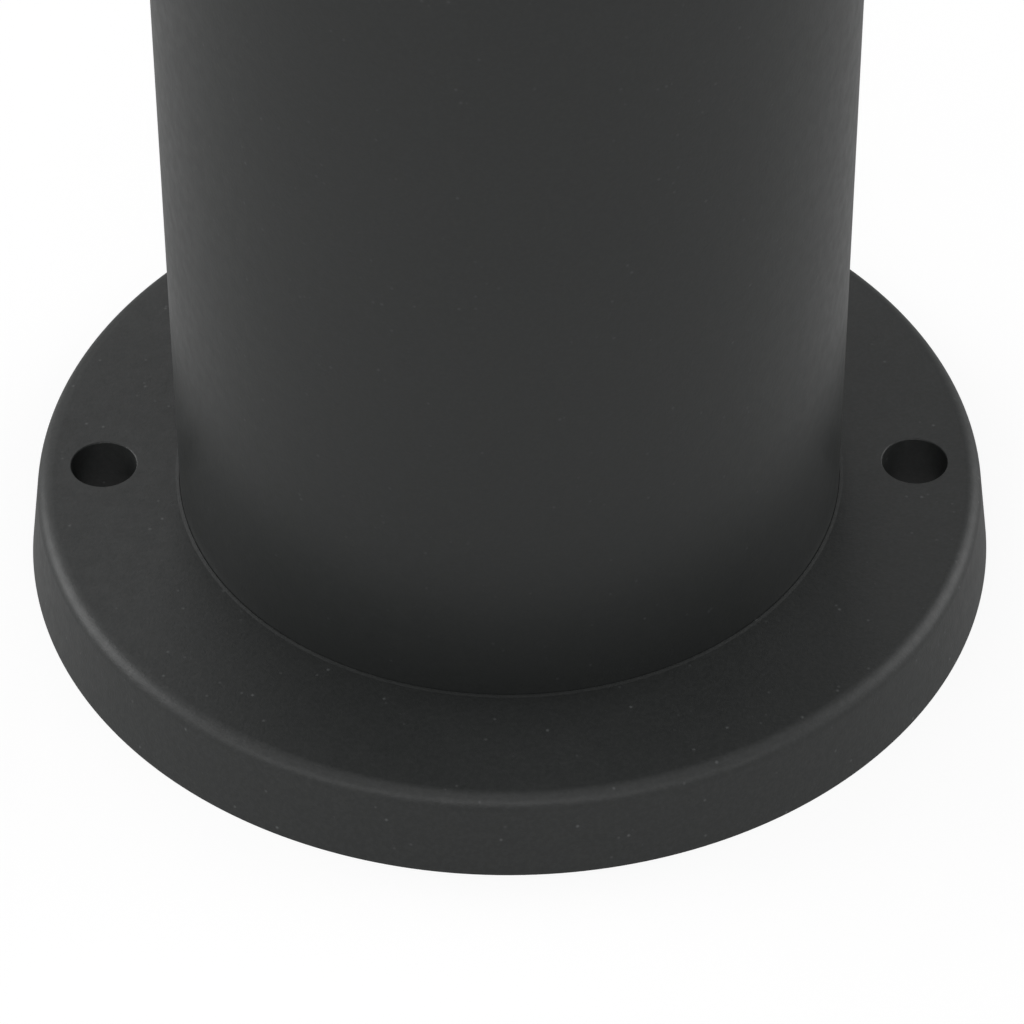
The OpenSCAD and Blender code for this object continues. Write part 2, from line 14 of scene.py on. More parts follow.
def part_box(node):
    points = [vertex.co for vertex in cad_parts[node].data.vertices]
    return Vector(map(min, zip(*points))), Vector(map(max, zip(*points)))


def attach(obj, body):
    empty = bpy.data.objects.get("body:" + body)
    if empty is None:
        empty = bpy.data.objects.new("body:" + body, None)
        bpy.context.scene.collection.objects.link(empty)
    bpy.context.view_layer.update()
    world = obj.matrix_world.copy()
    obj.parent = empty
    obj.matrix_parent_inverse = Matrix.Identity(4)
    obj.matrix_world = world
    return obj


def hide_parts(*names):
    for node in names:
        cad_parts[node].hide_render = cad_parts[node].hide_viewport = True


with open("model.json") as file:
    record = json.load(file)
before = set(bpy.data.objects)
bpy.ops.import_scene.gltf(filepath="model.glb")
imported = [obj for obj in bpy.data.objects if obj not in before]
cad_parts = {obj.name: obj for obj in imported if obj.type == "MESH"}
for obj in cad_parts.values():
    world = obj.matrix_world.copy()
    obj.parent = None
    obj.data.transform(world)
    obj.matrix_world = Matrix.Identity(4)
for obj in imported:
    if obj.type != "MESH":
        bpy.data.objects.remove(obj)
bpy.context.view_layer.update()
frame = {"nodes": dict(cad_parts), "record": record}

MM = 0.001
SEGMENTS = 192          # round the post, the foot and the cap
FINE = 48               # round a screw head
SMOOTH_ANGLE = math.radians(32)
MERGE = 2e-6            # vertices closer than this, in metres, are one after a cut

# ---------------------------------------------------------------- sizes read from the frame


def box(node):
    """Lowest and highest corner of a CAD node in millimetres."""
    lo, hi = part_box(node)
    return lo / MM, hi / MM


def span(node):
    """Lowest and highest z of a CAD node in millimetres."""
    lo, hi = box(node)
    return lo.z, hi.z


def cad_points(node):
    """(radius from the post's axis, height) of each vertex of a CAD node, in millimetres."""
    vertices = frame["nodes"][node].data.vertices
    return [(math.hypot(v.co.x, v.co.y) / MM, v.co.z / MM) for v in vertices]


def top_beyond(node, radius):
    """Height of a CAD node's highest vertex outside a radius."""
    return max(z for r, z in cad_points(node) if r > radius)


def radii_at(node, height):
    """Smallest and largest radius of a CAD node's vertices at a height."""
    found = [r for r, z in cad_points(node) if abs(z - height) < 0.01]
    return min(found), max(found)


MOUNTS = {m["name"]: m for m in frame["record"]["mounts"]}
HOLE_X = MOUNTS["fixing_holes"]["dims"]["spacing_x_mm"] / 2
HOLE_R = MOUNTS["fixing_holes"]["dims"]["hole_r_mm"]

POST_R = box("post_tube")[1].x
SEAT_Z, TUBE_TOP = span("post_tube")
BORE_R = radii_at("collar_gasket", TUBE_TOP)[0]
FOOT_R = box("base_flange")[1].x
SPIGOT_TOP = span("base_flange")[1]
FOOT_TOP = top_beyond("base_flange", POST_R * 1.2)
SKIRT_DRAFT = math.radians(7)
SHOULDER = 2.0          # radius of the round between the foot's skirt and its flat top
PLATE_Z = 4.4           # underside of the foot's middle plate

ROD_ANGLES = (30, 150, 270)
PORT_ANGLES = (90, 210, 330)
ROD_AT = 28.0
PORT_AT = BORE_R - 3.4
FLAP = 1.0              # how far a cutting tool runs past the face that it cuts

COLLAR_Z, DECK_Z = span("collar_gasket")[1], span("lower_seal")[0]
ROD_TOP, CAP_Z, TOTAL_H = span("tie_rods")[1], span("upper_seal")[1], span("top_cap")[1]
SINK_Z = span("cap_washer_1")[0]
STRAP_Z, BOSS_Z = span("lampholder_strap")
HOLDER_Z, MOUTH_Z = span("lampholder_body")
LAMP_TOP = span("lamp_globe")[1]
GLOBE_R = box("lamp_globe")[1].x
GLOBE_CUT = span("lamp_housing")[1]
HOUSING_Z = span("lamp_cap")[1]
LOCATE_R, LOCATE_IN = POST_R - 3.2, POST_R - 5.1    # rings that centre the diffuser

# Places of the smaller screws and the thickness of the bent sheet
SHEET = 1.5
BRACKET_SCREWS = ((-17, 14.5), (17, 14.5))          # x, y
SADDLE_SCREWS = ((-11, 29), (11, 29))               # x, z
BLOCK_SCREWS = ((-5, 53), (5, 53))                  # x, z
STRAP_SCREWS = ((-29, 0), (29, 0))                  # x, y
EARTH_SCREW = (16, 0)                               # x, y
M4_CLEAR, M4_TAPPED = 2.2, 2.0                      # radii of screw holes
UP, DOWN, FORWARD = (0, 0, 1), (0, 0, -1), (0, -1, 0)

# Screw heads: radius, height and width of the socket across its flats
M4_HEAD = (3.8, 2.2, 2.5)
M4_SMALL_HEAD = (3.7, 2.2, 2.5)
EARTH_HEAD = (3.6, 2.2, 2.5)
M3_HEAD = (2.9, 2, 2)

# Threads: crest, root and pitch
M4 = (1.95, 1.60, 0.7)
M3 = (1.50, 1.22, 0.5)
M10_FINE = (5.0, 4.62, 1.0)
LAMP_THREAD = (13.1, 12.1, 3.63)
SHELL_THREAD = (13.35, 12.35, 3.63)

# ---------------------------------------------------------------- mesh helpers


def new_object(name, bm):
    """Closes a bmesh into a linked mesh object."""
    bmesh.ops.recalc_face_normals(bm, faces=bm.faces)
    mesh = bpy.data.meshes.new(name)
    bm.to_mesh(mesh)
    bm.free()
    obj = bpy.data.objects.new(name, mesh)
    bpy.context.scene.collection.objects.link(obj)
    return obj


def rounded(corners, steps=4):
    """A closed outline from corners (x, y) or (x, y, fillet radius)."""
    out = []
    for i, corner in enumerate(corners):
        fillet = corner[2] if len(corner) > 2 else 0
        p = Vector(corner[:2])
        if fillet <= 0:
            out.append(tuple(p))
            continue
        a = Vector(corners[i - 1][:2]) - p
        b = Vector(corners[(i + 1) % len(corners)][:2]) - p
        half = a.angle(b) / 2
        run = min(fillet / math.tan(half), 0.49 * a.length, 0.49 * b.length)
        start, end = p + a.normalized() * run, p + b.normalized() * run
        centre = p + (a.normalized() + b.normalized()).normalized() * (run / math.cos(half))
        u, v = start - centre, end - centre
        turn = u.angle(v)
        for s in range(steps + 1):
            t = s / steps
            w = (u * math.sin((1 - t) * turn) + v * math.sin(t * turn)) / math.sin(turn)
            out.append(tuple(centre + w))
    return out


def arc(x, y, radius, start, end, steps):
    """Points of a circular arc between two angles in degrees."""
    angles = [math.radians(start + (end - start) * i / steps) for i in range(steps + 1)]
    return [(x + radius * math.cos(a), y + radius * math.sin(a)) for a in angles]


def turned(name, outline, at=(0, 0), segments=SEGMENTS):
    """A closed solid about a vertical axis through at; outline is a closed loop of (r, z), and an
    r may be a function of the angle."""
    bm = bmesh.new()
    turns = [2 * math.pi * i / segments for i in range(segments)]
    rings = []
    for r, z in outline:
        radius = r if callable(r) else lambda t, r=r: r
        if not callable(r) and r < 1e-6:
            rings.append([bm.verts.new((at[0] * MM, at[1] * MM, z * MM))] * segments)
        else:
            rings.append([bm.verts.new(((at[0] + radius(t) * math.cos(t)) * MM,
                                        (at[1] + radius(t) * math.sin(t)) * MM, z * MM))
                          for t in turns])
    for ring, nxt in zip(rings, rings[1:] + rings[:1]):
        for i in range(segments):
            j = (i + 1) % segments
            corners = list(dict.fromkeys((ring[i], ring[j], nxt[j], nxt[i])))
            if len(corners) > 2:
                bm.faces.new(corners)
    return new_object(name, bm)


def tube(name, r_in, r_out, z0, z1, edge, at=(0, 0), segments=SEGMENTS):
    """A ring with rounded edges."""
    corners = [(r_in, z0, edge), (r_out, z0, edge), (r_out, z1, edge), (r_in, z1, edge)]
    return turned(name, rounded(corners, 3), at, segments)


def thread(kind, z0, z1, offset=0.0, per_pitch=8, end_depth=0.35):
    """Rings of a right-hand thread from z0 to z1; end_depth is the share of its depth that is left
    at both ends."""
    crest, root, pitch = kind
    rings = []
    count = max(2, round((z1 - z0) / pitch * per_pitch))
    for i in range(count + 1):
        z = z0 + (z1 - z0) * i / count
        fade = min(1, (z - z0) / pitch * 1.5, (z1 - z) / pitch * 1.5)

        def radius(t, z=z, fade=fade):
            wave = 0.5 + 0.5 * math.cos(2 * math.pi * z / pitch - t)
            return root + offset + (crest - root) * wave * (end_depth + (1 - end_depth) * fade)
        rings.append((radius, z))
    return rings


def hex_radius(across_flats):
    """Radius of a hexagon as a function of the angle."""
    return lambda t: across_flats / 2 / math.cos(t % (math.pi / 3) - math.pi / 6)


def socket_hole(across, top, depth):
    """A hexagon socket, from its rim to the drill point in its floor."""
    side = hex_radius(across)
    rim = across / math.sqrt(3) + 0.12
    return [(rim, top), (side, top - 0.15), (side, top - depth), (0, top - depth - 0.3)]


def button_screw(kind, length, head_r, head_h, across):
    """A button-head socket screw: the head sits on z = 0 and the thread points down."""
    crest, root = kind[:2]
    dome = [(head_r * math.cos(a) ** 0.8, 0.25 + (head_h - 0.25) * math.sin(a))
            for a in [math.radians(x) for x in (12, 24, 36, 48, 58)]]
    flat = dome[-1][0] - 0.35
    shank = [(0, -length), (root - 0.35, -length)] + thread(kind, 0.4 - length, -0.35)
    under = [(crest - 0.05, -0.12), (head_r - 0.12, 0), (head_r, 0.12), (head_r, 0.3)]
    outline = (shank + under + dome[:-1] + [(flat, head_h)]
               + socket_hole(across, head_h, head_h * 0.6))
    return turned("screw", outline, segments=FINE)


def countersunk_screw(kind, length, head_r, head_h, across):
    """A countersunk socket screw: its flat top is on z = 0."""
    crest, root = kind[:2]
    shank = [(0, -length), (root - 0.35, -length)] + thread(kind, 0.4 - length, -head_h - 0.1)
    cone = [(crest - 0.05, -head_h + 0.05), (head_r, -0.22), (head_r, -0.08), (head_r - 0.08, 0)]
    outline = shank + cone + socket_hole(across, 0, 1.3)
    return turned("screw", outline, segments=FINE)


def aimed(obj, at, towards=UP):
    """Turns a piece's own z axis towards a direction and moves it to a point, in millimetres."""
    turn = Vector(UP).rotation_difference(Vector(towards)).to_matrix().to_4x4()
    if towards[2] < -0.99:
        turn = Matrix.Rotation(math.pi, 4, "X")
    return moved(obj, Matrix.Translation(Vector(at) * MM) @ turn)


def swept(name, path, layers, segments=20):
    """A round bar or sleeve along a path; layers are the radii of its skins, from outside in."""
    bm = bmesh.new()
    across = Vector((0, 1, 0))
    frames = []
    for i, point in enumerate(path):
        ahead = (Vector(path[min(i + 1, len(path) - 1)]) - Vector(path[max(i - 1, 0)])).normalized()
        side = (across - ahead * across.dot(ahead)).normalized()
        frames.append((Vector(point), side, ahead.cross(side)))
    loops = []
    for order, radius in zip((1, -1), layers):
        for centre, u, v in frames[::order]:
            loops.append([bm.verts.new((centre + radius * (u * math.cos(t) + v * math.sin(t))) * MM)
                          for t in [2 * math.pi * k / segments for k in range(segments)]])
    if len(layers) == 1:
        bm.faces.new(list(reversed(loops[0])))
        bm.faces.new(loops[-1])
    else:
        loops.append(loops[0])
    for low, high in zip(loops, loops[1:]):
        for k in range(segments):
            m = (k + 1) % segments
            bm.faces.new((low[k], low[m], high[m], high[k]))
    return new_object(name, bm)


def rod(r, z0, z1, at=(0, 0), segments=FINE):
    """A plain round bar that cuts or joins another solid."""
    return turned("tool", [(0, z0), (r, z0), (r, z1), (0, z1)], at, segments)


def prism(name, outline, z0, z1):
    """A closed outline of (x, y) extruded upwards."""
    bm = bmesh.new()
    low = [bm.verts.new((x * MM, y * MM, z0 * MM)) for x, y in outline]
    high = [bm.verts.new((x * MM, y * MM, z1 * MM)) for x, y in outline]
    bm.faces.new(list(reversed(low)))
    bm.faces.new(high)
    for i in range(len(outline)):
        j = (i + 1) % len(outline)
        bm.faces.new((low[i], low[j], high[j], high[i]))
    return new_object(name, bm)


def on_circle(angle, radius):
    """A point (x, y) at an angle in degrees."""
    a = math.radians(angle)
    return radius * math.cos(a), radius * math.sin(a)


def bake(obj):
    """Applies an object's modifiers to its mesh."""
    graph = bpy.context.evaluated_depsgraph_get()
    mesh = bpy.data.meshes.new_from_object(obj.evaluated_get(graph))
    obj.modifiers.clear()
    obj.data = mesh
    return obj


def boolean(obj, tools, operation):
    """Cuts or joins with each tool in turn, then welds the slivers that a cut leaves."""
    for tool in tools:
        step = obj.modifiers.new("step", "BOOLEAN")
        step.operation, step.object, step.solver = operation, tool, "EXACT"
    bake(obj)
    for tool in tools:
        bpy.data.objects.remove(tool)
    bm = bmesh.new()
    bm.from_mesh(obj.data)
    bmesh.ops.remove_doubles(bm, verts=bm.verts, dist=MERGE)
    bmesh.ops.dissolve_degenerate(bm, edges=bm.edges, dist=MERGE)
    bm.to_mesh(obj.data)
    bm.free()
    return obj


def cut(obj, *tools):
    """The solid without its tools."""
    return boolean(obj, tools, "DIFFERENCE")


def add(obj, *tools):
    """The solid joined with its tools."""
    return boolean(obj, tools, "UNION")


def gather(name, objs):
    """Several solids as one piece."""
    bm = bmesh.new()
    for obj in objs:
        part = obj.data.copy()
        part.transform(obj.matrix_world)
        bm.from_mesh(part)
        bpy.data.objects.remove(obj)
    return new_object(name, bm)


def moved(obj, matrix):
    """Moves an object's mesh, not the object."""
    obj.data.transform(matrix)
    if matrix.determinant() < 0:
        obj.data.flip_normals()
    return obj


def break_edges(obj, bevel):
    """A fine bevel, in millimetres, on the sharp edges."""
    edge = obj.modifiers.new("edge", "BEVEL")
    edge.width, edge.segments, edge.limit_method = bevel * MM, 2, "ANGLE"
    edge.angle_limit = math.radians(40)


def shade(obj, material):
    """Smooth shading with crisp real edges, and one material."""
    obj.data.shade_smooth()
    obj.data.set_sharp_from_angle(angle=SMOOTH_ANGLE)
    normals = obj.modifiers.new("normals", "WEIGHTED_NORMAL")
    normals.keep_sharp, normals.weight = True, 50
    obj.data.materials.clear()
    obj.data.materials.append(material)


# ---------------------------------------------------------------- material helpers


class Nodes:
    """Short names for building one node tree."""

    def __init__(self, name):
        self.material = bpy.data.materials.new(name)
        self.material.use_nodes = True
        self.tree = self.material.node_tree
        self.shader = self.tree.nodes["Principled BSDF"]
        self.where = self.node("ShaderNodeTexCoord").outputs["Object"]

    def node(self, kind, **values):
        """A new node with some of its settings."""
        made = self.tree.nodes.new(kind)
        for key, value in values.items():
            setattr(made, key, value)
        return made

    def link(self, source, target):
        self.tree.links.new(source, target)

    def stretch(self, scale):
        """The object's own coordinates, scaled per axis."""
        mapping = self.node("ShaderNodeMapping")
        mapping.inputs["Scale"].default_value = scale
        self.link(self.where, mapping.inputs["Vector"])
        return mapping.outputs["Vector"]

    def noise(self, size_mm, detail=3.0, roughness=0.5, where=None, distortion=0.0):
        """Noise whose patches are about size_mm across."""
        made = self.node("ShaderNodeTexNoise")
        made.inputs["Scale"].default_value = 1 / (size_mm * MM)
        made.inputs["Detail"].default_value = detail
        made.inputs["Roughness"].default_value = roughness
        made.inputs["Distortion"].default_value = distortion
        self.link(where or self.where, made.inputs["Vector"])
        return made.outputs["Fac"]

    def cells(self, size_mm):
        """Distance to the nearest of scattered points about size_mm apart, 0 at a point."""
        made = self.node("ShaderNodeTexVoronoi")
        made.inputs["Scale"].default_value = 1 / (size_mm * MM)
        self.link(self.where, made.inputs["Vector"])
        return made.outputs["Distance"]

    def ramp(self, value, from_min, from_max, to_min, to_max):
        """A value mapped from one range to another and held at its ends."""
        made = self.node("ShaderNodeMapRange", clamp=True)
        for socket, number in zip(("From Min", "From Max", "To Min", "To Max"),
                                  (from_min, from_max, to_min, to_max)):
            made.inputs[socket].default_value = number
        self.link(value, made.inputs["Value"])
        return made.outputs["Result"]

    def maths(self, operation, a, b):
        """One operation on two sockets or numbers."""
        made = self.node("ShaderNodeMath", operation=operation)
        for socket, value in zip(made.inputs, (a, b)):
            if isinstance(value, (int, float)):
                socket.default_value = value
            else:
                self.link(value, socket)
        return made.outputs["Value"]

    def mix(self, factor, a, b):
        """A colour between a and b."""
        made = self.node("ShaderNodeMix", data_type="RGBA")
        self.link(factor, made.inputs["Factor"])
        for name, value in (("A", a), ("B", b)):
            socket = [s for s in made.inputs if s.name == name and s.type == "RGBA"][0]
            if isinstance(value, tuple):
                socket.default_value = (*value, 1)
            else:
                self.link(value, socket)
        return [s for s in made.outputs if s.type == "RGBA"][0]

    def bump(self, height, distance_mm, strength=1.0, below=None):
        """A bump normal, laid over another one if that is given."""
        made = self.node("ShaderNodeBump")
        made.inputs["Strength"].default_value = strength
        made.inputs["Distance"].default_value = distance_mm * MM
        self.link(height, made.inputs["Height"])
        if below:
            self.link(below, made.inputs["Normal"])
        return made.outputs["Normal"]

    def set(self, **values):
        """Sets or links the shader's inputs; underscores stand for spaces."""
        for key, value in values.items():
            socket = self.shader.inputs[key.replace("_", " ")]
            if isinstance(value, bpy.types.NodeSocket):
                self.link(value, socket)
            elif isinstance(value, tuple):
                socket.default_value = (*value, 1)
            else:
                socket.default_value = value
        return self.material


def powder_coat(name, rough, grain, speck, patchy):
    """Fine-textured anthracite powder coat: a pebbled skin of strength grain, mottling of strength
    patchy, faint clouding and a few light grains of strength speck."""
    n = Nodes(name)
    fine = n.noise(0.33, detail=2.0, roughness=0.6)
    mottle = n.noise(0.55, detail=3.0, roughness=0.65)
    peel = n.noise(1.6, detail=2.0)
    cloud = n.noise(38, detail=3.0)
    grains = n.ramp(n.cells(1.5), 0.04, 0.17, 1.0, 0.0)
    chance = n.ramp(n.noise(2.6, detail=0.0), 0.56, 0.66, 0.0, speck)
    flecks = n.maths("MULTIPLY", grains, chance)
    base = n.mix(cloud, (0.0205, 0.0222, 0.0218), (0.0245, 0.0262, 0.0256))
    shade = n.mix(n.ramp(mottle, 0.36, 0.52, patchy, 0.0), base, (0.0135, 0.0148, 0.0145))
    mottled = n.mix(n.ramp(mottle, 0.48, 0.66, 0.0, 1.2 * patchy), shade, (0.036, 0.038, 0.0375))
    tone = n.mix(flecks, mottled, (0.080, 0.084, 0.084))
    skin = n.bump(fine, 0.05, grain)
    skin = n.bump(peel, 0.12, grain * 0.5, below=skin)
    skin = n.bump(flecks, 0.04, 0.5, below=skin)
    gloss = n.maths("ADD", n.ramp(peel, 0.3, 0.7, -0.03, 0.03),
                    n.ramp(cloud, 0.3, 0.7, rough - 0.02, rough + 0.02))
    return n.set(Base_Color=tone, Roughness=gloss, IOR=1.5, Normal=skin)


# ---------------------------------------------------------------- the foot and the tube


def fixing_hole_cutter(side):
    """The hole with its finely broken upper edge."""
    edge = 0.2
    flare = arc(HOLE_R + edge, FOOT_TOP - edge, edge, 180, 97, 7)
    above = [(HOLE_R + edge, FOOT_TOP + FLAP), (0, FOOT_TOP + FLAP)]
    outline = [(0, -FLAP), (HOLE_R, -FLAP)] + flare + above
    return turned("tool", outline, (side * HOLE_X, 0), 90)


def foot_shoulder():
    """The round that touches both the sloping skirt and the flat top."""
    below = FOOT_TOP - SHOULDER
    centre = FOOT_R - (below * math.sin(SKIRT_DRAFT) + SHOULDER) / math.cos(SKIRT_DRAFT)
    return arc(centre, below, SHOULDER, math.degrees(SKIRT_DRAFT), 90, 18)


def foot_outline():
    """The cast foot: skirt, shoulder, flat top, the tube's socket, spigot, plate and hub."""
    sole = 0.12
    wall = 3.0
    hub_r, hub_wall = 41.6, 3.2
    hub_in = hub_r - hub_wall
    under_z = FOOT_TOP - 3.4
    under_r = FOOT_R - wall - under_z * math.tan(SKIRT_DRAFT)
    entry_r = 9.5
    hub_z = span("foot_gasket")[1] + 0.1
    socket_r, lip_w, lip_h = POST_R + 0.03, 0.42, 0.11
    spigot_r, spigot_in = BORE_R - 0.15, 32.4
    lip = [(socket_r + lip_w, FOOT_TOP, 0.6), (socket_r, FOOT_TOP + lip_h, 0.04)]
    inside = [
        (socket_r, SEAT_Z), (spigot_r, SEAT_Z), (spigot_r, SPIGOT_TOP - 2, 0.4),
        (spigot_r - 1.5, SPIGOT_TOP, 0.4), (spigot_in, SPIGOT_TOP, 0.4), (spigot_in, SEAT_Z, 1.0),
        (entry_r, SEAT_Z, 0.3), (entry_r, PLATE_Z, 0.3), (hub_in, PLATE_Z, 0.8),
        (hub_in, hub_z, 0.3), (hub_r, hub_z, 0.3), (hub_r, under_z, 0.8),
        (under_r, under_z, 0.8), (FOOT_R - wall, 0, sole)]
    return rounded([(FOOT_R, 0, sole)] + foot_shoulder() + lip + inside)


def base_flange():
    """The foot with its bosses, fixing holes, port screw holes and bracket screw holes."""
    boss_r, port_r, low, high = 6.2, 4.4, 3, 9
    foot = turned("foot", foot_outline(), segments=256)
    add(foot, *[rod(boss_r, 0, FOOT_TOP - 2, (side * HOLE_X, 0), 70) for side in (-1, 1)])
    tools = [fixing_hole_cutter(side) for side in (-1, 1)]
    for angle in PORT_ANGLES:
        at = on_circle(angle, PORT_AT)
        tools += [rod(M4_CLEAR, low, high, at, 32), rod(port_r, SEAT_Z - 0.3, SPIGOT_TOP + 2, at)]
    tools += [rod(M4_TAPPED, low, high, at, 32) for at in BRACKET_SCREWS]
    return cut(foot, *tools)


def post_tube():
    """The extruded tube with its three inner screw ports."""
    edge, port_r, slot, reach = 0.25, 4.0, 0.8, 5
    wall = rounded([(BORE_R, SEAT_Z, edge), (POST_R, SEAT_Z, edge), (POST_R, TUBE_TOP, edge),
                    (BORE_R, TUBE_TOP, edge)], 3)
    post = turned("tube", wall, segments=256)
    low, high = SEAT_Z + edge, TUBE_TOP - edge
    add(post, *[rod(port_r, low, high, on_circle(a, PORT_AT)) for a in PORT_ANGLES])
    mouth = [(PORT_AT - reach, -slot), (PORT_AT, -slot), (PORT_AT, slot), (PORT_AT - reach, slot)]
    tools = []
    for angle in PORT_ANGLES:
        tools.append(rod(M4_TAPPED, low - FLAP, high + FLAP, on_circle(angle, PORT_AT), 32))
        opening = prism("tool", mouth, low - FLAP, high + FLAP)
        tools.append(moved(opening, Matrix.Rotation(math.radians(angle), 4, "Z")))
    return cut(post, *tools)


def foot_gasket():
    """Flat rubber ring under the foot, notched round both fixing bosses."""
    lo, hi = box("foot_gasket")
    bore, notch = 37.6, 6.4
    ring = tube("gasket", bore, hi.x, lo.z, hi.z, 0.25)
    return cut(ring, *[rod(notch, -FLAP, hi.z + FLAP, (side * HOLE_X, 0)) for side in (-1, 1)])


def cable_grommet():
    """Rubber bush in the middle plate, with a soft lip round the cable."""
    bore = MOUNTS["cable_entry"]["dims"]["r_mm"]
    neck, rim, low = 9.45, 12.0, 1.9
    shelf, lip = SEAT_Z + 2, SEAT_Z + 4.2
    return turned("grommet", rounded([
        (bore, low, 0.4), (rim - 0.6, low, 0.5), (rim, low + 0.9, 0.4), (rim, PLATE_Z, 0.2),
        (neck, PLATE_Z), (neck, SEAT_Z), (rim, SEAT_Z, 0.2), (rim, SEAT_Z + 1.4, 0.5),
        (rim - 1.2, shelf, 0.5), (bore + 3, shelf, 0.8), (bore + 1.8, lip, 0.5), (bore, lip, 0.4)]),
        segments=96)


# ---------------------------------------------------------------- terminals inside the tube


def terminal_bracket():
    """Bent steel sheet: a foot with two ears and an upright that carries the terminals."""
    lo, hi = box("terminal_bracket")
    bend, cable_way, m3_tapped = 1.2, 13.0, 1.55
    side = rounded([
        (lo.y, lo.z, bend + SHEET), (hi.y, lo.z, 0.2), (hi.y, lo.z + SHEET, 0.2),
        (lo.y + SHEET, lo.z + SHEET, bend), (lo.y + SHEET, hi.z, 0.3), (lo.y, hi.z, 0.3)], 5)
    plate = prism("bracket", side, lo.x, hi.x)
    moved(plate, Matrix(((0, 0, 1, 0), (1, 0, 0, 0), (0, 1, 0, 0), (0, 0, 0, 1))))
    tools = [rod(cable_way, SEAT_Z - FLAP, SEAT_Z + 5)]
    tools += [rod(M4_CLEAR, SEAT_Z - FLAP, SEAT_Z + 3, at) for at in BRACKET_SCREWS]
    for x, z in SADDLE_SCREWS + BLOCK_SCREWS:
        tools.append(aimed(rod(m3_tapped, -FLAP, SHEET + FLAP), (x, lo.y, z), (0, 1, 0)))
    return cut(plate, *tools)


def screws(kind, length, head, places, towards):
    """A group of like button-head screws."""
    made = [aimed(button_screw(kind, length, *head), at, towards) for at in places]
    return gather("screws", made)


PORTS = [on_circle(a, PORT_AT) for a in PORT_ANGLES]
# Thread, length, head, places of the heads' undersides, and where the heads point
SCREWS = {
    "base_screws": (M4, 25, M4_HEAD, [(*at, PLATE_Z) for at in PORTS], DOWN),
    "bracket_screws": (M4, 5.8, M4_HEAD, [(*at, SEAT_Z + SHEET) for at in BRACKET_SCREWS], UP),
    "saddle_screws": (M3, 6, M3_HEAD, [(x, 3.4, z) for x, z in SADDLE_SCREWS], FORWARD),
    "block_screws": (M3, 16, M3_HEAD, [(x, -8, z) for x, z in BLOCK_SCREWS], FORWARD),
    "strap_screws": (M4, 9, M4_SMALL_HEAD, [(*at, BOSS_Z - SHEET) for at in STRAP_SCREWS], DOWN),
    "earth_screw": (M4, 2.2, EARTH_HEAD, [(*EARTH_SCREW, STRAP_Z - 0.8)], DOWN),
}


def wire_path(start, end, slack, steps=36):
    """A wire that sags a little to one side and back between two points."""
    a, b = Vector(start), Vector(end)
    path = []
    for i in range(steps + 1):
        t = i / steps
        sway = slack * math.sin(math.pi * t) ** 2
        path.append(a.lerp(b, t) + Vector((sway, math.sin(2 * math.pi * t) * sway, 0)))
    return path


WIRE_LOW, WIRE_R = 54.5, 1.15
WIRE_TOP = HOLDER_Z + 8.5
WIRES = {
    "live_wire": wire_path((-10, -3, WIRE_LOW), (-1.6, 0, WIRE_TOP), -0.8),
    "neutral_wire": wire_path((10, -3, WIRE_LOW), (1.6, 0, WIRE_TOP), 0.8),
    "earth_wire": wire_path((0, -3, WIRE_LOW), (16, -10, STRAP_Z - 6), 0.8),
}


def wire_sleeves():
    """Woven sleeves over the upper part of the live and neutral wires."""
    low, high = span("wire_sleeves")
    made = []
    for name in ("live_wire", "neutral_wire"):
        path = [p for p in WIRES[name] if low + 1 < p.z < high - 1]
        made.append(swept("sleeve", path, (WIRE_R + 0.6, WIRE_R + 0.1), 24))
    return gather("sleeves", made)


# ---------------------------------------------------------------- collar and lampholder


def head_collar():
    """The die-cast ring between tube and light band, with its spigot, bosses and countersinks."""
    spigot_r, spigot_in, bore = BORE_R - 0.15, 33.2, 21.5
    low, boss_z, rim_z = COLLAR_Z - 16, COLLAR_Z - 10, DECK_Z + 4
    boss_r, sink_r, sink, blind = 4.5, 3.9, 2.2, 8.5
    ring = turned("collar", rounded([
        (spigot_r, COLLAR_Z), (POST_R, COLLAR_Z, 0.5), (POST_R, DECK_Z, 0.5), (LOCATE_R, DECK_Z),
        (LOCATE_R, rim_z, 0.6), (LOCATE_IN, rim_z, 0.4), (LOCATE_IN, DECK_Z), (bore, DECK_Z, 0.6),
        (bore, COLLAR_Z, 0.6), (spigot_in, COLLAR_Z, 1.0), (spigot_in, low, 0.4),
        (spigot_r, low, 0.9)]))
    rods = [on_circle(a, ROD_AT) for a in ROD_ANGLES]
    add(ring, *[rod(boss_r, boss_z, DECK_Z - 1.5, at) for at in (*rods, *STRAP_SCREWS)])
    tools = [rod(M4_TAPPED, boss_z - FLAP, DECK_Z + FLAP, at) for at in rods]
    tools += [rod(M4_TAPPED, boss_z - FLAP, boss_z + blind, at) for at in STRAP_SCREWS]
    hole = [(0, COLLAR_Z - FLAP), (M4_CLEAR, COLLAR_Z - FLAP), (M4_CLEAR, DECK_Z - sink),
            (sink_r, DECK_Z), (sink_r, DECK_Z + 6), (0, DECK_Z + 6)]
    for angle in PORT_ANGLES:
        at = on_circle(angle, PORT_AT)
        tools += [turned("tool", hole, at, FINE), rod(boss_r, low - FLAP, COLLAR_Z - 0.02, at)]
    return cut(ring, *tools)


def collar_screws():
    """Three countersunk screws into the tube's ports."""
    return gather("screws", [aimed(countersunk_screw(M4, 20, *M4_SMALL_HEAD),
                                   (*on_circle(a, PORT_AT), DECK_Z)) for a in PORT_ANGLES])


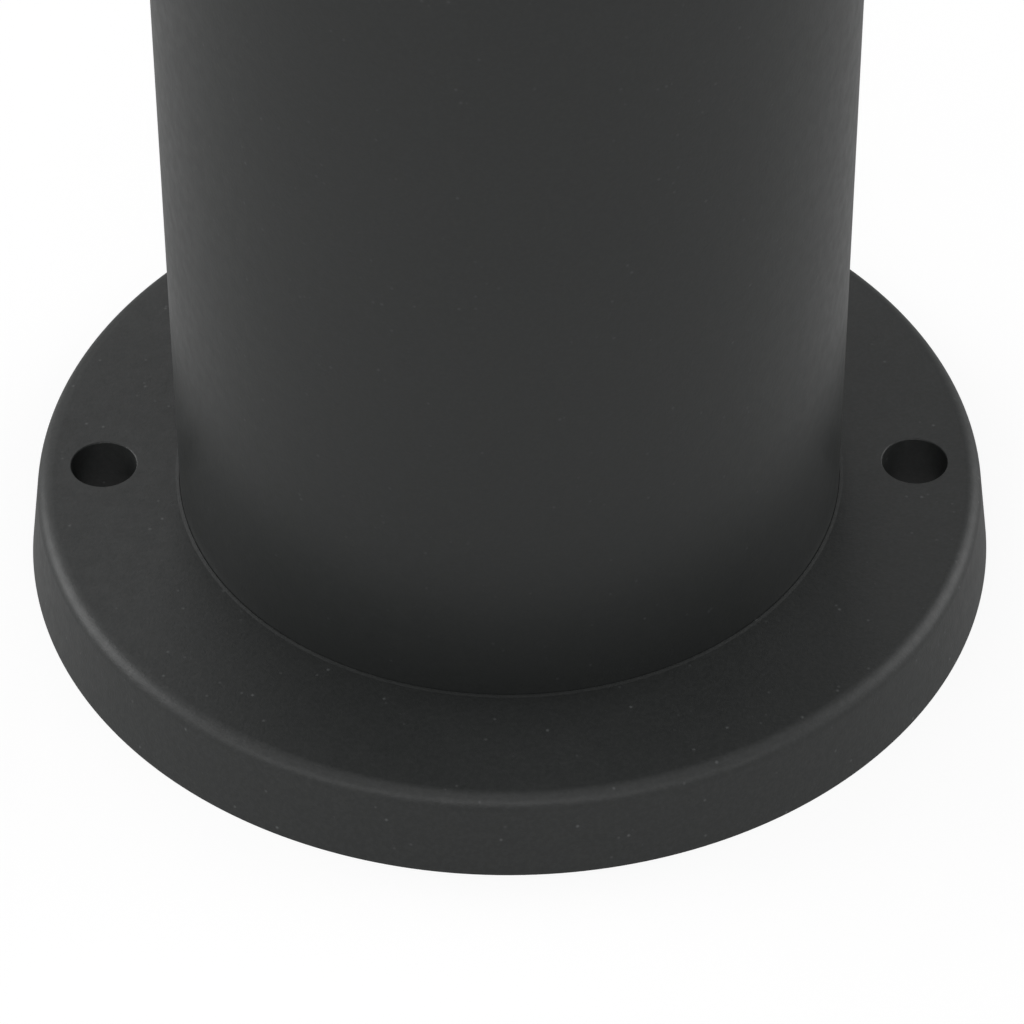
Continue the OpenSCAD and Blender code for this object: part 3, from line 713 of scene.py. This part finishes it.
def lampholder_strap():
    """Bent steel strap that hangs the lampholder from the collar's bosses."""
    bend, half, nipple_hole = 1.0, 7.0, 5.15
    leg, reach = 23.0, 32.2
    outer, low = leg + SHEET, BOSS_Z - SHEET
    outline = [(-outer, STRAP_Z, bend + SHEET), (outer, STRAP_Z, bend + SHEET), (outer, low, bend),
               (reach, low, 0.2), (reach, BOSS_Z, 0.2), (leg, BOSS_Z, bend + SHEET),
               (leg, HOLDER_Z, bend), (-leg, HOLDER_Z, bend), (-leg, BOSS_Z, bend + SHEET),
               (-reach, BOSS_Z, 0.2), (-reach, low, 0.2), (-outer, low, bend)]
    strap = prism("strap", rounded(outline, 5), -half, half)
    moved(strap, Matrix(((1, 0, 0, 0), (0, 0, -1, 0), (0, 1, 0, 0), (0, 0, 0, 1))))
    tools = [rod(nipple_hole, STRAP_Z - FLAP, HOLDER_Z + FLAP),
             rod(M4_TAPPED, STRAP_Z - FLAP, HOLDER_Z + FLAP, EARTH_SCREW)]
    tools += [rod(M4_CLEAR, BOSS_Z - 3, BOSS_Z + FLAP, at) for at in STRAP_SCREWS]
    return cut(strap, *tools)


def lampholder_body():
    """Glazed porcelain body with its terminal chamber below and the shell's cavity above."""
    r, neck, cavity, chamber, nipple_hole, rivet_hole = 20.0, 18.0, 13.9, 15, 5.05, 1.25
    plate, floor_low, floor_top = HOLDER_Z + 4.5, HOLDER_Z + 12.5, HOLDER_Z + 18.5
    body = turned("holder", rounded([
        (nipple_hole, HOLDER_Z, 0.3), (r, HOLDER_Z, 1.4), (r, HOLDER_Z + 31, 1.5),
        (neck, HOLDER_Z + 34, 1.5), (neck, MOUTH_Z, 1.6), (cavity, MOUTH_Z, 0.7),
        (cavity, floor_top, 0.8), (0, floor_top), (0, floor_low), (chamber, floor_low, 0.8),
        (chamber, plate, 0.8), (nipple_hole, plate, 0.3)], 5), segments=128)
    return cut(body, rod(rivet_hole, floor_low - FLAP, floor_top + FLAP, (-7, 0)))


def lampholder_shell():
    """Brass screw shell with the lamp's thread rolled into it."""
    low, high = span("lampholder_shell")
    skin = 0.38
    inner = thread(SHELL_THREAD, low, high, per_pitch=12, end_depth=1.0)
    outer = thread(SHELL_THREAD, low, high, offset=skin, per_pitch=12, end_depth=1.0)
    return turned("shell", outer + inner[::-1], segments=96)


def holder_nipple():
    """Hollow threaded nipple that ties the lampholder to its strap."""
    low, high = span("holder_nipple")
    bore, end, lead = 3.6, 4.5, 0.4
    outline = ([(bore, low), (end, low)] + thread(M10_FINE, low + lead, high - lead)
               + [(end, high), (bore, high)])
    return turned("nipple", outline, segments=FINE)


def nipple_nut():
    """Hexagon nut with chamfered corners."""
    low, high = span("nipple_nut")
    across, bore, lead, chamfer = 14.0, 5.05, 0.3, 0.55
    face, side = across / 2 - 0.1, hex_radius(across)
    outline = [(bore, low + lead), (bore + lead, low), (face, low), (side, low + chamfer),
               (side, high - chamfer), (face, high), (bore + lead, high), (bore, high - lead)]
    return turned("nut", outline, segments=96)


# ---------------------------------------------------------------- louvre stack and removable head


def tie_rods():
    """Turned pillars: a threaded stud below, a tapped hole above."""
    r, bore, lead = 3.5, M4_TAPPED, 0.3
    stud, depth = 10, 14
    outline = ([(0, DECK_Z - stud), (1.3, DECK_Z - stud)]
               + thread(M4, DECK_Z - stud + 0.4, DECK_Z - lead)
               + [(1.9, DECK_Z), (r - lead, DECK_Z), (r, DECK_Z + lead), (r, ROD_TOP - lead),
                  (r - lead, ROD_TOP), (bore + lead, ROD_TOP), (bore, ROD_TOP - lead),
                  (bore, ROD_TOP - depth), (0, ROD_TOP - depth - 1)])
    return gather("rods", [turned("rod", outline, on_circle(a, ROD_AT), FINE) for a in ROD_ANGLES])


LOUVRES, LOUVRE_SHEET = 4, 1.2
LOUVRE_GAP = (ROD_TOP - DECK_Z - LOUVRES * LOUVRE_SHEET) / (LOUVRES + 1)
LOUVRE_LEVELS = [DECK_Z + LOUVRE_GAP + i * (LOUVRE_GAP + LOUVRE_SHEET) for i in range(LOUVRES)]


def louvre_rings():
    """Spun rings whose outer edge turns down."""
    flat_r, lip_r, lip, drop, bore, rod_hole = 33.5, 34.4, 0.9, 5.0, 23.2, 3.6
    made = []
    for z in LOUVRE_LEVELS:
        top = z + LOUVRE_SHEET
        ring = turned("louvre", rounded([
            (bore, z, 0.4), (flat_r - lip, z, 0.8), (lip_r - lip, z - drop, 0.25),
            (lip_r, z - drop, 0.25), (flat_r, top, 1.4), (bore, top, 0.4)], 5))
        tools = [rod(rod_hole, z - FLAP, top + FLAP, on_circle(a, ROD_AT)) for a in ROD_ANGLES]
        made.append(cut(ring, *tools))
    return gather("louvres", made)


def louvre_spacers():
    """Spacer tubes round the tie rods, between the louvre rings."""
    bore, r = 3.6, 4.5
    bottoms = [DECK_Z] + [z + LOUVRE_SHEET for z in LOUVRE_LEVELS]
    made = [tube("spacer", bore, r, z, z + LOUVRE_GAP, 0.15, on_circle(a, ROD_AT), FINE)
            for z in bottoms for a in ROD_ANGLES]
    return gather("spacers", made)


def seal(node):
    """A flat rubber ring between the diffuser and the collar or the cap."""
    return tube("seal", LOCATE_R + 0.3, POST_R - 0.4, *span(node), 0.4)


def cap_reflector():
    """White spun disc with a dished centre."""
    r, sheet, dish, dish_r = LOCATE_IN - 0.5, 1.0, 5.0, 14
    top = ROD_TOP + sheet
    disc = turned("reflector", rounded([
        (0, ROD_TOP - dish), (dish_r, ROD_TOP, 3), (r, ROD_TOP, 0.3), (r, top, 0.3),
        (dish_r, top, 3), (0, top - dish)], 6))
    return cut(disc, *[rod(M4_CLEAR, ROD_TOP - FLAP, ROD_TOP + 2, on_circle(a, ROD_AT))
                       for a in ROD_ANGLES])


def cap_outline():
    """The cast cap: gently crowned top, rounded rim and a locating ring inside the diffuser."""
    crown, edge, roof, wall, steps = 1.2, 3.0, 3.5, 4.5, 16
    flat = POST_R - edge
    crown_r = (flat * flat + crown * crown) / (2 * crown)
    centre = TOTAL_H - crown_r
    tilt = math.degrees(math.asin(flat / crown_r))
    rim = arc(flat, TOTAL_H - crown - edge, edge, 0, 90 - tilt, 14)
    radii = [flat * (1 - i / steps) for i in range(1, steps + 1)]
    top = [(r, centre + math.sqrt(crown_r ** 2 - r ** 2)) for r in radii]
    inner, under, rib = POST_R - wall, TOTAL_H - roof, CAP_Z + 2
    inside = [(0, under), (inner - 3, under, 1.0), (inner, under - 3, 1.0), (inner, rib, 0.4),
              (LOCATE_IN, rib, 0.8), (LOCATE_IN, ROD_TOP, 0.4), (LOCATE_R, ROD_TOP, 0.6),
              (LOCATE_R, CAP_Z)]
    return rounded([(POST_R, CAP_Z, 0.5)] + rim + top + inside)


def top_cap():
    """The cap with its three bosses and the counterbored screw holes."""
    boss_r, sink_r = 6.2, 5.2
    cap = turned("cap", cap_outline(), segments=256)
    places = [on_circle(a, ROD_AT) for a in ROD_ANGLES]
    add(cap, *[rod(boss_r, ROD_TOP + 1.05, TOTAL_H - 2, at) for at in places])
    hole = [(0, ROD_TOP - FLAP), (M4_CLEAR, ROD_TOP - FLAP), (M4_CLEAR, SINK_Z), (sink_r, SINK_Z),
            (sink_r, TOTAL_H + FLAP), (0, TOTAL_H + FLAP)]
    return cut(cap, *[turned("tool", hole, at, 64) for at in places])


# ---------------------------------------------------------------- lamp


GLOBE_Z = LAMP_TOP - GLOBE_R        # the globe's centre


def globe_skin(radius):
    """A skin of the globe, from the housing up to the axis."""
    start = -math.degrees(math.asin((GLOBE_Z - GLOBE_CUT) / radius))
    return arc(0, GLOBE_Z, radius, start, 90, 40)[:-1] + [(0, GLOBE_Z + radius)]


def lamp_globe():
    """Opal globe: a thin blown shell, open where the housing takes over."""
    skin = 1.2
    outline = globe_skin(GLOBE_R) + globe_skin(GLOBE_R - skin)[::-1]
    return turned("globe", outline, segments=128)


def lamp_housing():
    """Plastic housing that widens from the screw cap to the globe."""
    plug, neck, plug_z = 11.9, 13.1, HOUSING_Z - 4
    edge_r = math.sqrt(GLOBE_R ** 2 - (GLOBE_Z - GLOBE_CUT) ** 2)
    return turned("housing", rounded([
        (0, plug_z), (plug, plug_z, 0.3), (plug, HOUSING_Z), (neck, HOUSING_Z, 0.3),
        (neck, HOUSING_Z + 3, 1.0), (14.6, HOUSING_Z + 6, 2.0), (16.8, HOUSING_Z + 9, 3.0),
        (edge_r - 0.6, GLOBE_CUT - 1.5, 0.6), (edge_r, GLOBE_CUT, 0.2), (0, GLOBE_CUT)], 6),
        segments=128)


def lamp_cap():
    """Nickel-plated screw cap with the rolled thread."""
    skin, low = 0.4, span("lamp_cap")[0]
    start, end = low + 2.3, HOUSING_Z - 0.6
    threads = thread(LAMP_THREAD, start, end, per_pitch=12)
    inner = thread(LAMP_THREAD, start, end, offset=-skin, per_pitch=12)
    outline = ([(9, low), (10.8, low), (11.4, low + 0.5), (11.8, low + 1.6)] + threads
               + [(12.7, HOUSING_Z), (12.3, HOUSING_Z)] + inner[::-1]
               + [(11.4, low + 1.8), (11.1, low + 0.9), (10.6, low + skin), (9, low + skin)])
    return turned("screw_cap", outline, segments=96)


def lamp_insulator():
    """Black glass between the cap and the end contact."""
    low, high = span("lamp_insulator")
    tip, r = 5, 9
    outline = [(0, low), (tip, low, 0.6), (r, high - 0.8, 0.6), (r, high, 0.1), (0, high)]
    return turned("insulator", rounded(outline, 5), segments=96)


# ---------------------------------------------------------------- the other materials


def metal(name, tint, rough, shade=0.82, patch_mm=6.0, grain=0.12, stretch=None):
    """Bare or plated metal: cloudy tone, faint working marks and uneven polish."""
    n = Nodes(name)
    cloud = n.noise(patch_mm, detail=4.0)
    marks = n.noise(0.25, detail=2.0, where=n.stretch(stretch) if stretch else None)
    dark = tuple(c * shade for c in tint)
    tone = n.mix(n.ramp(cloud, 0.3, 0.7, 0.0, 1.0), dark, tint)
    gloss = n.maths("ADD", n.ramp(cloud, 0.3, 0.7, rough - 0.05, rough + 0.05),
                    n.ramp(marks, 0.3, 0.7, -0.03, 0.05))
    return n.set(Base_Color=tone, Metallic=1.0, Roughness=gloss, Normal=n.bump(marks, 0.02, grain))


def zinc(name):
    """Zinc-plated sheet with a soft spangle."""
    n = Nodes(name)
    spangle = n.noise(2.4, detail=1.0, distortion=1.5)
    fine = n.noise(0.3, detail=2.0)
    tone = n.mix(n.ramp(spangle, 0.38, 0.62, 0.0, 1.0), (0.46, 0.48, 0.51), (0.62, 0.64, 0.66))
    return n.set(Base_Color=tone, Metallic=1.0, Roughness=n.ramp(spangle, 0.35, 0.65, 0.34, 0.50),
                 Normal=n.bump(fine, 0.02, 0.25))


def moulded(name, tint, rough, mottle=0.06, grain=0.15, coat=0.0, soft=0.0):
    """Moulded plastic, rubber or glazed ware: slight colour flow and a fine skin."""
    n = Nodes(name)
    flow = n.noise(9.0, detail=3.0, distortion=0.6)
    fine = n.noise(0.4, detail=3.0)
    tone = n.mix(n.ramp(flow, 0.3, 0.7, 0.0, 1.0), tuple(c * (1 - mottle) for c in tint), tint)
    gloss = n.ramp(fine, 0.3, 0.7, max(rough - 0.04, 0.02), rough + 0.04)
    return n.set(Base_Color=tone, Roughness=gloss, Coat_Weight=coat, Coat_Roughness=0.06,
                 Subsurface_Weight=soft, Subsurface_Scale=0.002, Normal=n.bump(fine, 0.03, grain))


def fibre_board(name):
    """Pressed fibre gasket: dark, with lighter short fibres."""
    n = Nodes(name)
    strands = n.noise(0.5, detail=3.0, where=n.stretch((0.25, 0.25, 1.6)))
    tone = n.mix(n.ramp(strands, 0.45, 0.7, 0.0, 1.0), (0.030, 0.030, 0.031), (0.085, 0.082, 0.078))
    return n.set(Base_Color=tone, Roughness=0.85, Normal=n.bump(strands, 0.06, 0.5))


def clear_plastic(name):
    """Polished polycarbonate: clear, with faint flow lines and a little handling haze."""
    n = Nodes(name)
    flow = n.noise(14, detail=2.0, where=n.stretch((1, 1, 0.2)))
    haze = n.noise(22, detail=4.0)
    return n.set(Base_Color=(0.975, 0.99, 0.992), Transmission_Weight=1.0, IOR=1.58,
                 Roughness=n.ramp(haze, 0.4, 0.8, 0.01, 0.05), Normal=n.bump(flow, 0.02, 0.15))


def opal(name):
    """Opal glass: milky and glossy, its tone drifting in soft random clouds between a warmer and a
    paler white.
    """
    n = Nodes(name)
    cloud = n.noise(16, detail=2.0)
    tone = n.mix(n.ramp(cloud, 0.3, 0.7, 0.0, 1.0), (0.88, 0.87, 0.83), (0.93, 0.925, 0.90))
    return n.set(Base_Color=tone, Roughness=n.ramp(cloud, 0.3, 0.7, 0.14, 0.20),
                 Subsurface_Weight=0.4, Subsurface_Scale=0.004,
                 Normal=n.bump(n.noise(5, detail=1.0), 0.02, 0.2))


def woven_sleeve(name):
    """Woven glass sleeve: two crossing sets of fine yarn."""
    n = Nodes(name)
    yarns = []
    for lean in (1, -1):
        wave = n.node("ShaderNodeTexWave", bands_direction="DIAGONAL")
        wave.inputs["Scale"].default_value = 260
        wave.inputs["Distortion"].default_value = 0.4
        n.link(n.stretch((1.0, 1.0, 0.8 * lean)), wave.inputs["Vector"])
        yarns.append(wave.outputs["Fac"])
    weave = n.maths("MAXIMUM", *yarns)
    tone = n.mix(weave, (0.50, 0.48, 0.42), (0.84, 0.82, 0.75))
    return n.set(Base_Color=tone, Roughness=0.8, Normal=n.bump(weave, 0.12, 0.6))


COAT_FOOT = powder_coat("coat_foot", rough=0.46, grain=0.55, speck=1.0, patchy=0.26)
FINISH = {
    "coated_aluminium": powder_coat("coat_tube", rough=0.38, grain=0.28, speck=0.35, patchy=0.12),
    "stainless": metal("stainless", (0.64, 0.63, 0.61), 0.30, shade=0.93, patch_mm=14.0,
                       stretch=(1, 1, 0.12)),
    "zinc_steel": zinc("zinc_steel"),
    "brass": metal("brass", (0.74, 0.53, 0.24), 0.30, shade=0.72, patch_mm=4.0),
    "rubber": moulded("rubber", (0.022, 0.022, 0.023), 0.62, mottle=0.25, grain=0.35),
    "fibre": fibre_board("fibre"),
    "nylon": moulded("nylon", (0.80, 0.79, 0.73), 0.42, soft=0.15),
    "porcelain": moulded("porcelain", (0.86, 0.85, 0.80), 0.22, mottle=0.04, grain=0.05, coat=0.8),
    "clear_plastic": clear_plastic("clear_plastic"),
    "opal": opal("opal"),
    "lamp_white": moulded("lamp_white", (0.84, 0.84, 0.82), 0.32, mottle=0.03, grain=0.08),
    "lamp_shell": metal("lamp_shell", (0.70, 0.68, 0.64), 0.20, shade=0.88),
    "black_insulator": moulded("black_insulator", (0.012, 0.012, 0.014), 0.12, mottle=0.3,
                               grain=0.1, coat=0.5),
    "reflector_white": moulded("reflector_white", (0.86, 0.86, 0.84), 0.30, mottle=0.02, grain=0.3),
    "wire_brown": moulded("wire_brown", (0.16, 0.065, 0.025), 0.36, mottle=0.12),
    "wire_blue": moulded("wire_blue", (0.035, 0.10, 0.42), 0.36, mottle=0.12),
    "wire_green": moulded("wire_green", (0.10, 0.34, 0.06), 0.36, mottle=0.12),
    "sleeve_white": woven_sleeve("sleeve_white"),
}
SLOTS = {row["node"]: row["material_slot"] for row in frame["record"]["subparts"]}
BODIES = frame["record"]["behaviour"]["bodies"]
BODY_OF = {node: body for body, nodes in BODIES.items() for node in nodes}

# ---------------------------------------------------------------- the pieces


def stand_in(node, obj, material=None, bevel=0.0):
    """Finishes a rebuilt piece: it stands for a CAD node and takes its body and its finish."""
    obj.name = obj.data.name = "look_" + node
    if bevel:
        break_edges(obj, bevel)
        bake(obj)
    shade(obj, material or FINISH[SLOTS[node]])
    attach(obj, BODY_OF[node])
    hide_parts(node)


def carried_over(node, bevel):
    """A CAD node that already has the real shape: it gets broken edges and a finish."""
    obj = frame["nodes"][node]
    break_edges(obj, bevel)
    shade(obj, FINISH[SLOTS[node]])


def post_pieces():
    """Everything that stays put on the post."""
    stand_in("base_flange", base_flange(), COAT_FOOT)
    stand_in("post_tube", post_tube())
    stand_in("foot_gasket", foot_gasket())
    stand_in("cable_grommet", cable_grommet())
    for node, group in SCREWS.items():
        stand_in(node, screws(*group))
    for make in (wire_sleeves, collar_screws, lampholder_shell, holder_nipple, nipple_nut,
                 tie_rods, louvre_spacers, lampholder_body):
        stand_in(make.__name__, make())
    for make in (terminal_bracket, lampholder_strap, head_collar):
        stand_in(make.__name__, make(), bevel=0.15)
    stand_in("louvre_rings", louvre_rings())
    for node, path in WIRES.items():
        stand_in(node, swept("wire", path, (WIRE_R,)), bevel=0.12)
    gasket = tube("gasket", BORE_R, POST_R - 0.25, TUBE_TOP, COLLAR_Z, 0.15)
    stand_in("collar_gasket", gasket)
    stand_in("lower_seal", seal("lower_seal"))
    for node, bevel in (("cable_saddle", 0.3), ("terminal_block", 0.35), ("terminal_clamps", 0.12),
                        ("terminal_screws", 0.08), ("earth_lug", 0.12), ("centre_contact", 0.1),
                        ("holder_terminals", 0.25)):
        carried_over(node, bevel)


def head_pieces():
    """Diffuser, cap and the three cap screws."""
    wall, washer_h, clear = 3, 0.8, 0.02
    cover = tube("diffuser", POST_R - wall, POST_R, *span("diffuser"), 0.35, segments=256)
    stand_in("diffuser", cover)
    stand_in("upper_seal", seal("upper_seal"))
    stand_in("cap_reflector", cap_reflector(), bevel=0.12)
    stand_in("top_cap", top_cap(), bevel=0.2)
    for i, angle in enumerate(ROD_ANGLES, 1):
        at = on_circle(angle, ROD_AT)
        washer = tube("washer", 2.1, 4.6, SINK_Z + clear, SINK_Z + washer_h - clear, 0.2, at, FINE)
        stand_in(f"cap_washer_{i}", washer)
        screw = aimed(button_screw(M4, 35, *M4_HEAD), (*at, SINK_Z + washer_h))
        stand_in(f"cap_screw_{i}", screw)


def lamp_pieces():
    """The lamp: its glass, its plastic and its screw cap."""
    for make in (lamp_globe, lamp_housing, lamp_cap, lamp_insulator):
        stand_in(make.__name__, make())
    carried_over("lamp_contact", 0.15)


post_pieces()
head_pieces()
lamp_pieces()

# ---------------------------------------------------------------- stage, light and camera

LAMPS = {
    "top": dict(at=(0, -0.3, 1.6), size=(1.1, 1.1), power=2.6),
    "front": dict(at=(0, -1.25, 0.95), size=(1.3, 0.5), power=4.2),
    "front_left": dict(at=(-1.2, -1.0, 0.75), size=(0.9, 0.5), power=2.9),
    "front_right": dict(at=(1.2, -1.0, 0.75), size=(0.9, 0.5), power=1.7),
    "back": dict(at=(-0.45, 1.3, 1.2), size=(1.2, 0.8), power=2.8),
    "left": dict(at=(-1.5, 0.5, 0.68), size=(1.2, 1.4), power=15.0),
    "right": dict(at=(1.5, 0.6, 0.68), size=(1.2, 1.4), power=11.8),
}
SKY = 0.29              # light from all round
FLOOR_GLOW = 0.75       # how bright the floor is to diffuse surfaces
FLOOR_SHEEN = 0.27      # how bright it looks in reflections
FLOOR_SEEN = 0.86       # how bright it looks to the camera
FLOOR_GREY = 0.18       # how much of the light that falls on it comes back
AIM = Vector((0, 0, 0.24))


def studio_sky():
    """Soft grey light all round, and a white surround behind the object."""
    world = bpy.data.worlds.new("studio")
    bpy.context.scene.world = world
    world.use_nodes = True
    tree = world.node_tree
    seen = tree.nodes.new("ShaderNodeLightPath")
    glow, white = (tree.nodes.new("ShaderNodeBackground") for _ in range(2))
    glow.inputs["Strength"].default_value = SKY
    white.inputs["Strength"].default_value = 1.0
    glow.inputs["Color"].default_value = white.inputs["Color"].default_value = (1, 1, 1, 1)
    blend = tree.nodes.new("ShaderNodeMixShader")
    tree.links.new(seen.outputs["Is Camera Ray"], blend.inputs[0])
    tree.links.new(glow.outputs[0], blend.inputs[1])
    tree.links.new(white.outputs[0], blend.inputs[2])
    tree.links.new(blend.outputs[0], tree.nodes["World Output"].inputs[0])


def floor_material():
    """Pale matt floor that glows like an evenly lit sweep and stays calm in reflections."""
    material = bpy.data.materials.new("floor")
    material.use_nodes = True
    tree = material.node_tree
    tree.nodes.clear()
    seen = tree.nodes.new("ShaderNodeLightPath")
    levels = tree.nodes.new("ShaderNodeMix")
    levels.inputs["A"].default_value = FLOOR_GLOW
    levels.inputs["B"].default_value = FLOOR_SHEEN
    tree.links.new(seen.outputs["Is Glossy Ray"], levels.inputs["Factor"])
    seen_by_camera = tree.nodes.new("ShaderNodeMix")
    seen_by_camera.inputs["B"].default_value = FLOOR_SEEN
    tree.links.new(levels.outputs["Result"], seen_by_camera.inputs["A"])
    tree.links.new(seen.outputs["Is Camera Ray"], seen_by_camera.inputs["Factor"])
    glow = tree.nodes.new("ShaderNodeEmission")
    tree.links.new(seen_by_camera.outputs["Result"], glow.inputs["Strength"])
    matt = tree.nodes.new("ShaderNodeBsdfDiffuse")
    matt.inputs["Color"].default_value = (FLOOR_GREY, FLOOR_GREY, FLOOR_GREY, 1)
    both = tree.nodes.new("ShaderNodeAddShader")
    tree.links.new(glow.outputs[0], both.inputs[0])
    tree.links.new(matt.outputs[0], both.inputs[1])
    out = tree.nodes.new("ShaderNodeOutputMaterial")
    tree.links.new(both.outputs[0], out.inputs["Surface"])
    return material


def floor():
    """A wide plain floor under the post."""
    half = 40.0
    corners = ((-half, -half), (half, -half), (half, half), (-half, half))
    bm = bmesh.new()
    bm.faces.new([bm.verts.new((x, y, 0)) for x, y in corners])
    ground = new_object("floor", bm)
    ground.data.materials.append(floor_material())


def lamps():
    """Area lights that aim at the post's middle and stay out of the picture."""
    for name, lamp in LAMPS.items():
        data = bpy.data.lights.new(name, "AREA")
        data.shape = "RECTANGLE"
        data.size, data.size_y = lamp["size"]
        data.energy = lamp["power"]
        obj = bpy.data.objects.new(name, data)
        bpy.context.scene.collection.objects.link(obj)
        obj.location = lamp["at"]
        obj.rotation_euler = (AIM - obj.location).to_track_quat("-Z", "Y").to_euler()
        obj.visible_camera = False


def camera():
    """Looks down at the foot from the front, as at a table-top product."""
    side, back, height = 0.00047, 0.45314, 0.42298
    pitch, yaw, roll = 0.7479, -0.0004, -0.0043
    data = bpy.data.cameras.new("camera")
    data.sensor_width, data.lens = 36.0, 186.8
    data.clip_start, data.clip_end = 0.01, 100
    obj = bpy.data.objects.new("camera", data)
    turn = Matrix.Rotation(math.pi / 2 - pitch, 4, "X") @ Matrix.Rotation(roll, 4, "Z")
    obj.matrix_world = (Matrix.Translation((side, -back, height))
                        @ Matrix.Rotation(-yaw, 4, "Z") @ turn)
    bpy.context.scene.collection.objects.link(obj)
    bpy.context.scene.camera = obj


bpy.context.scene.view_settings.view_transform = "Standard"
studio_sky()
floor()
lamps()
camera()

bpy.context.view_layer.update()
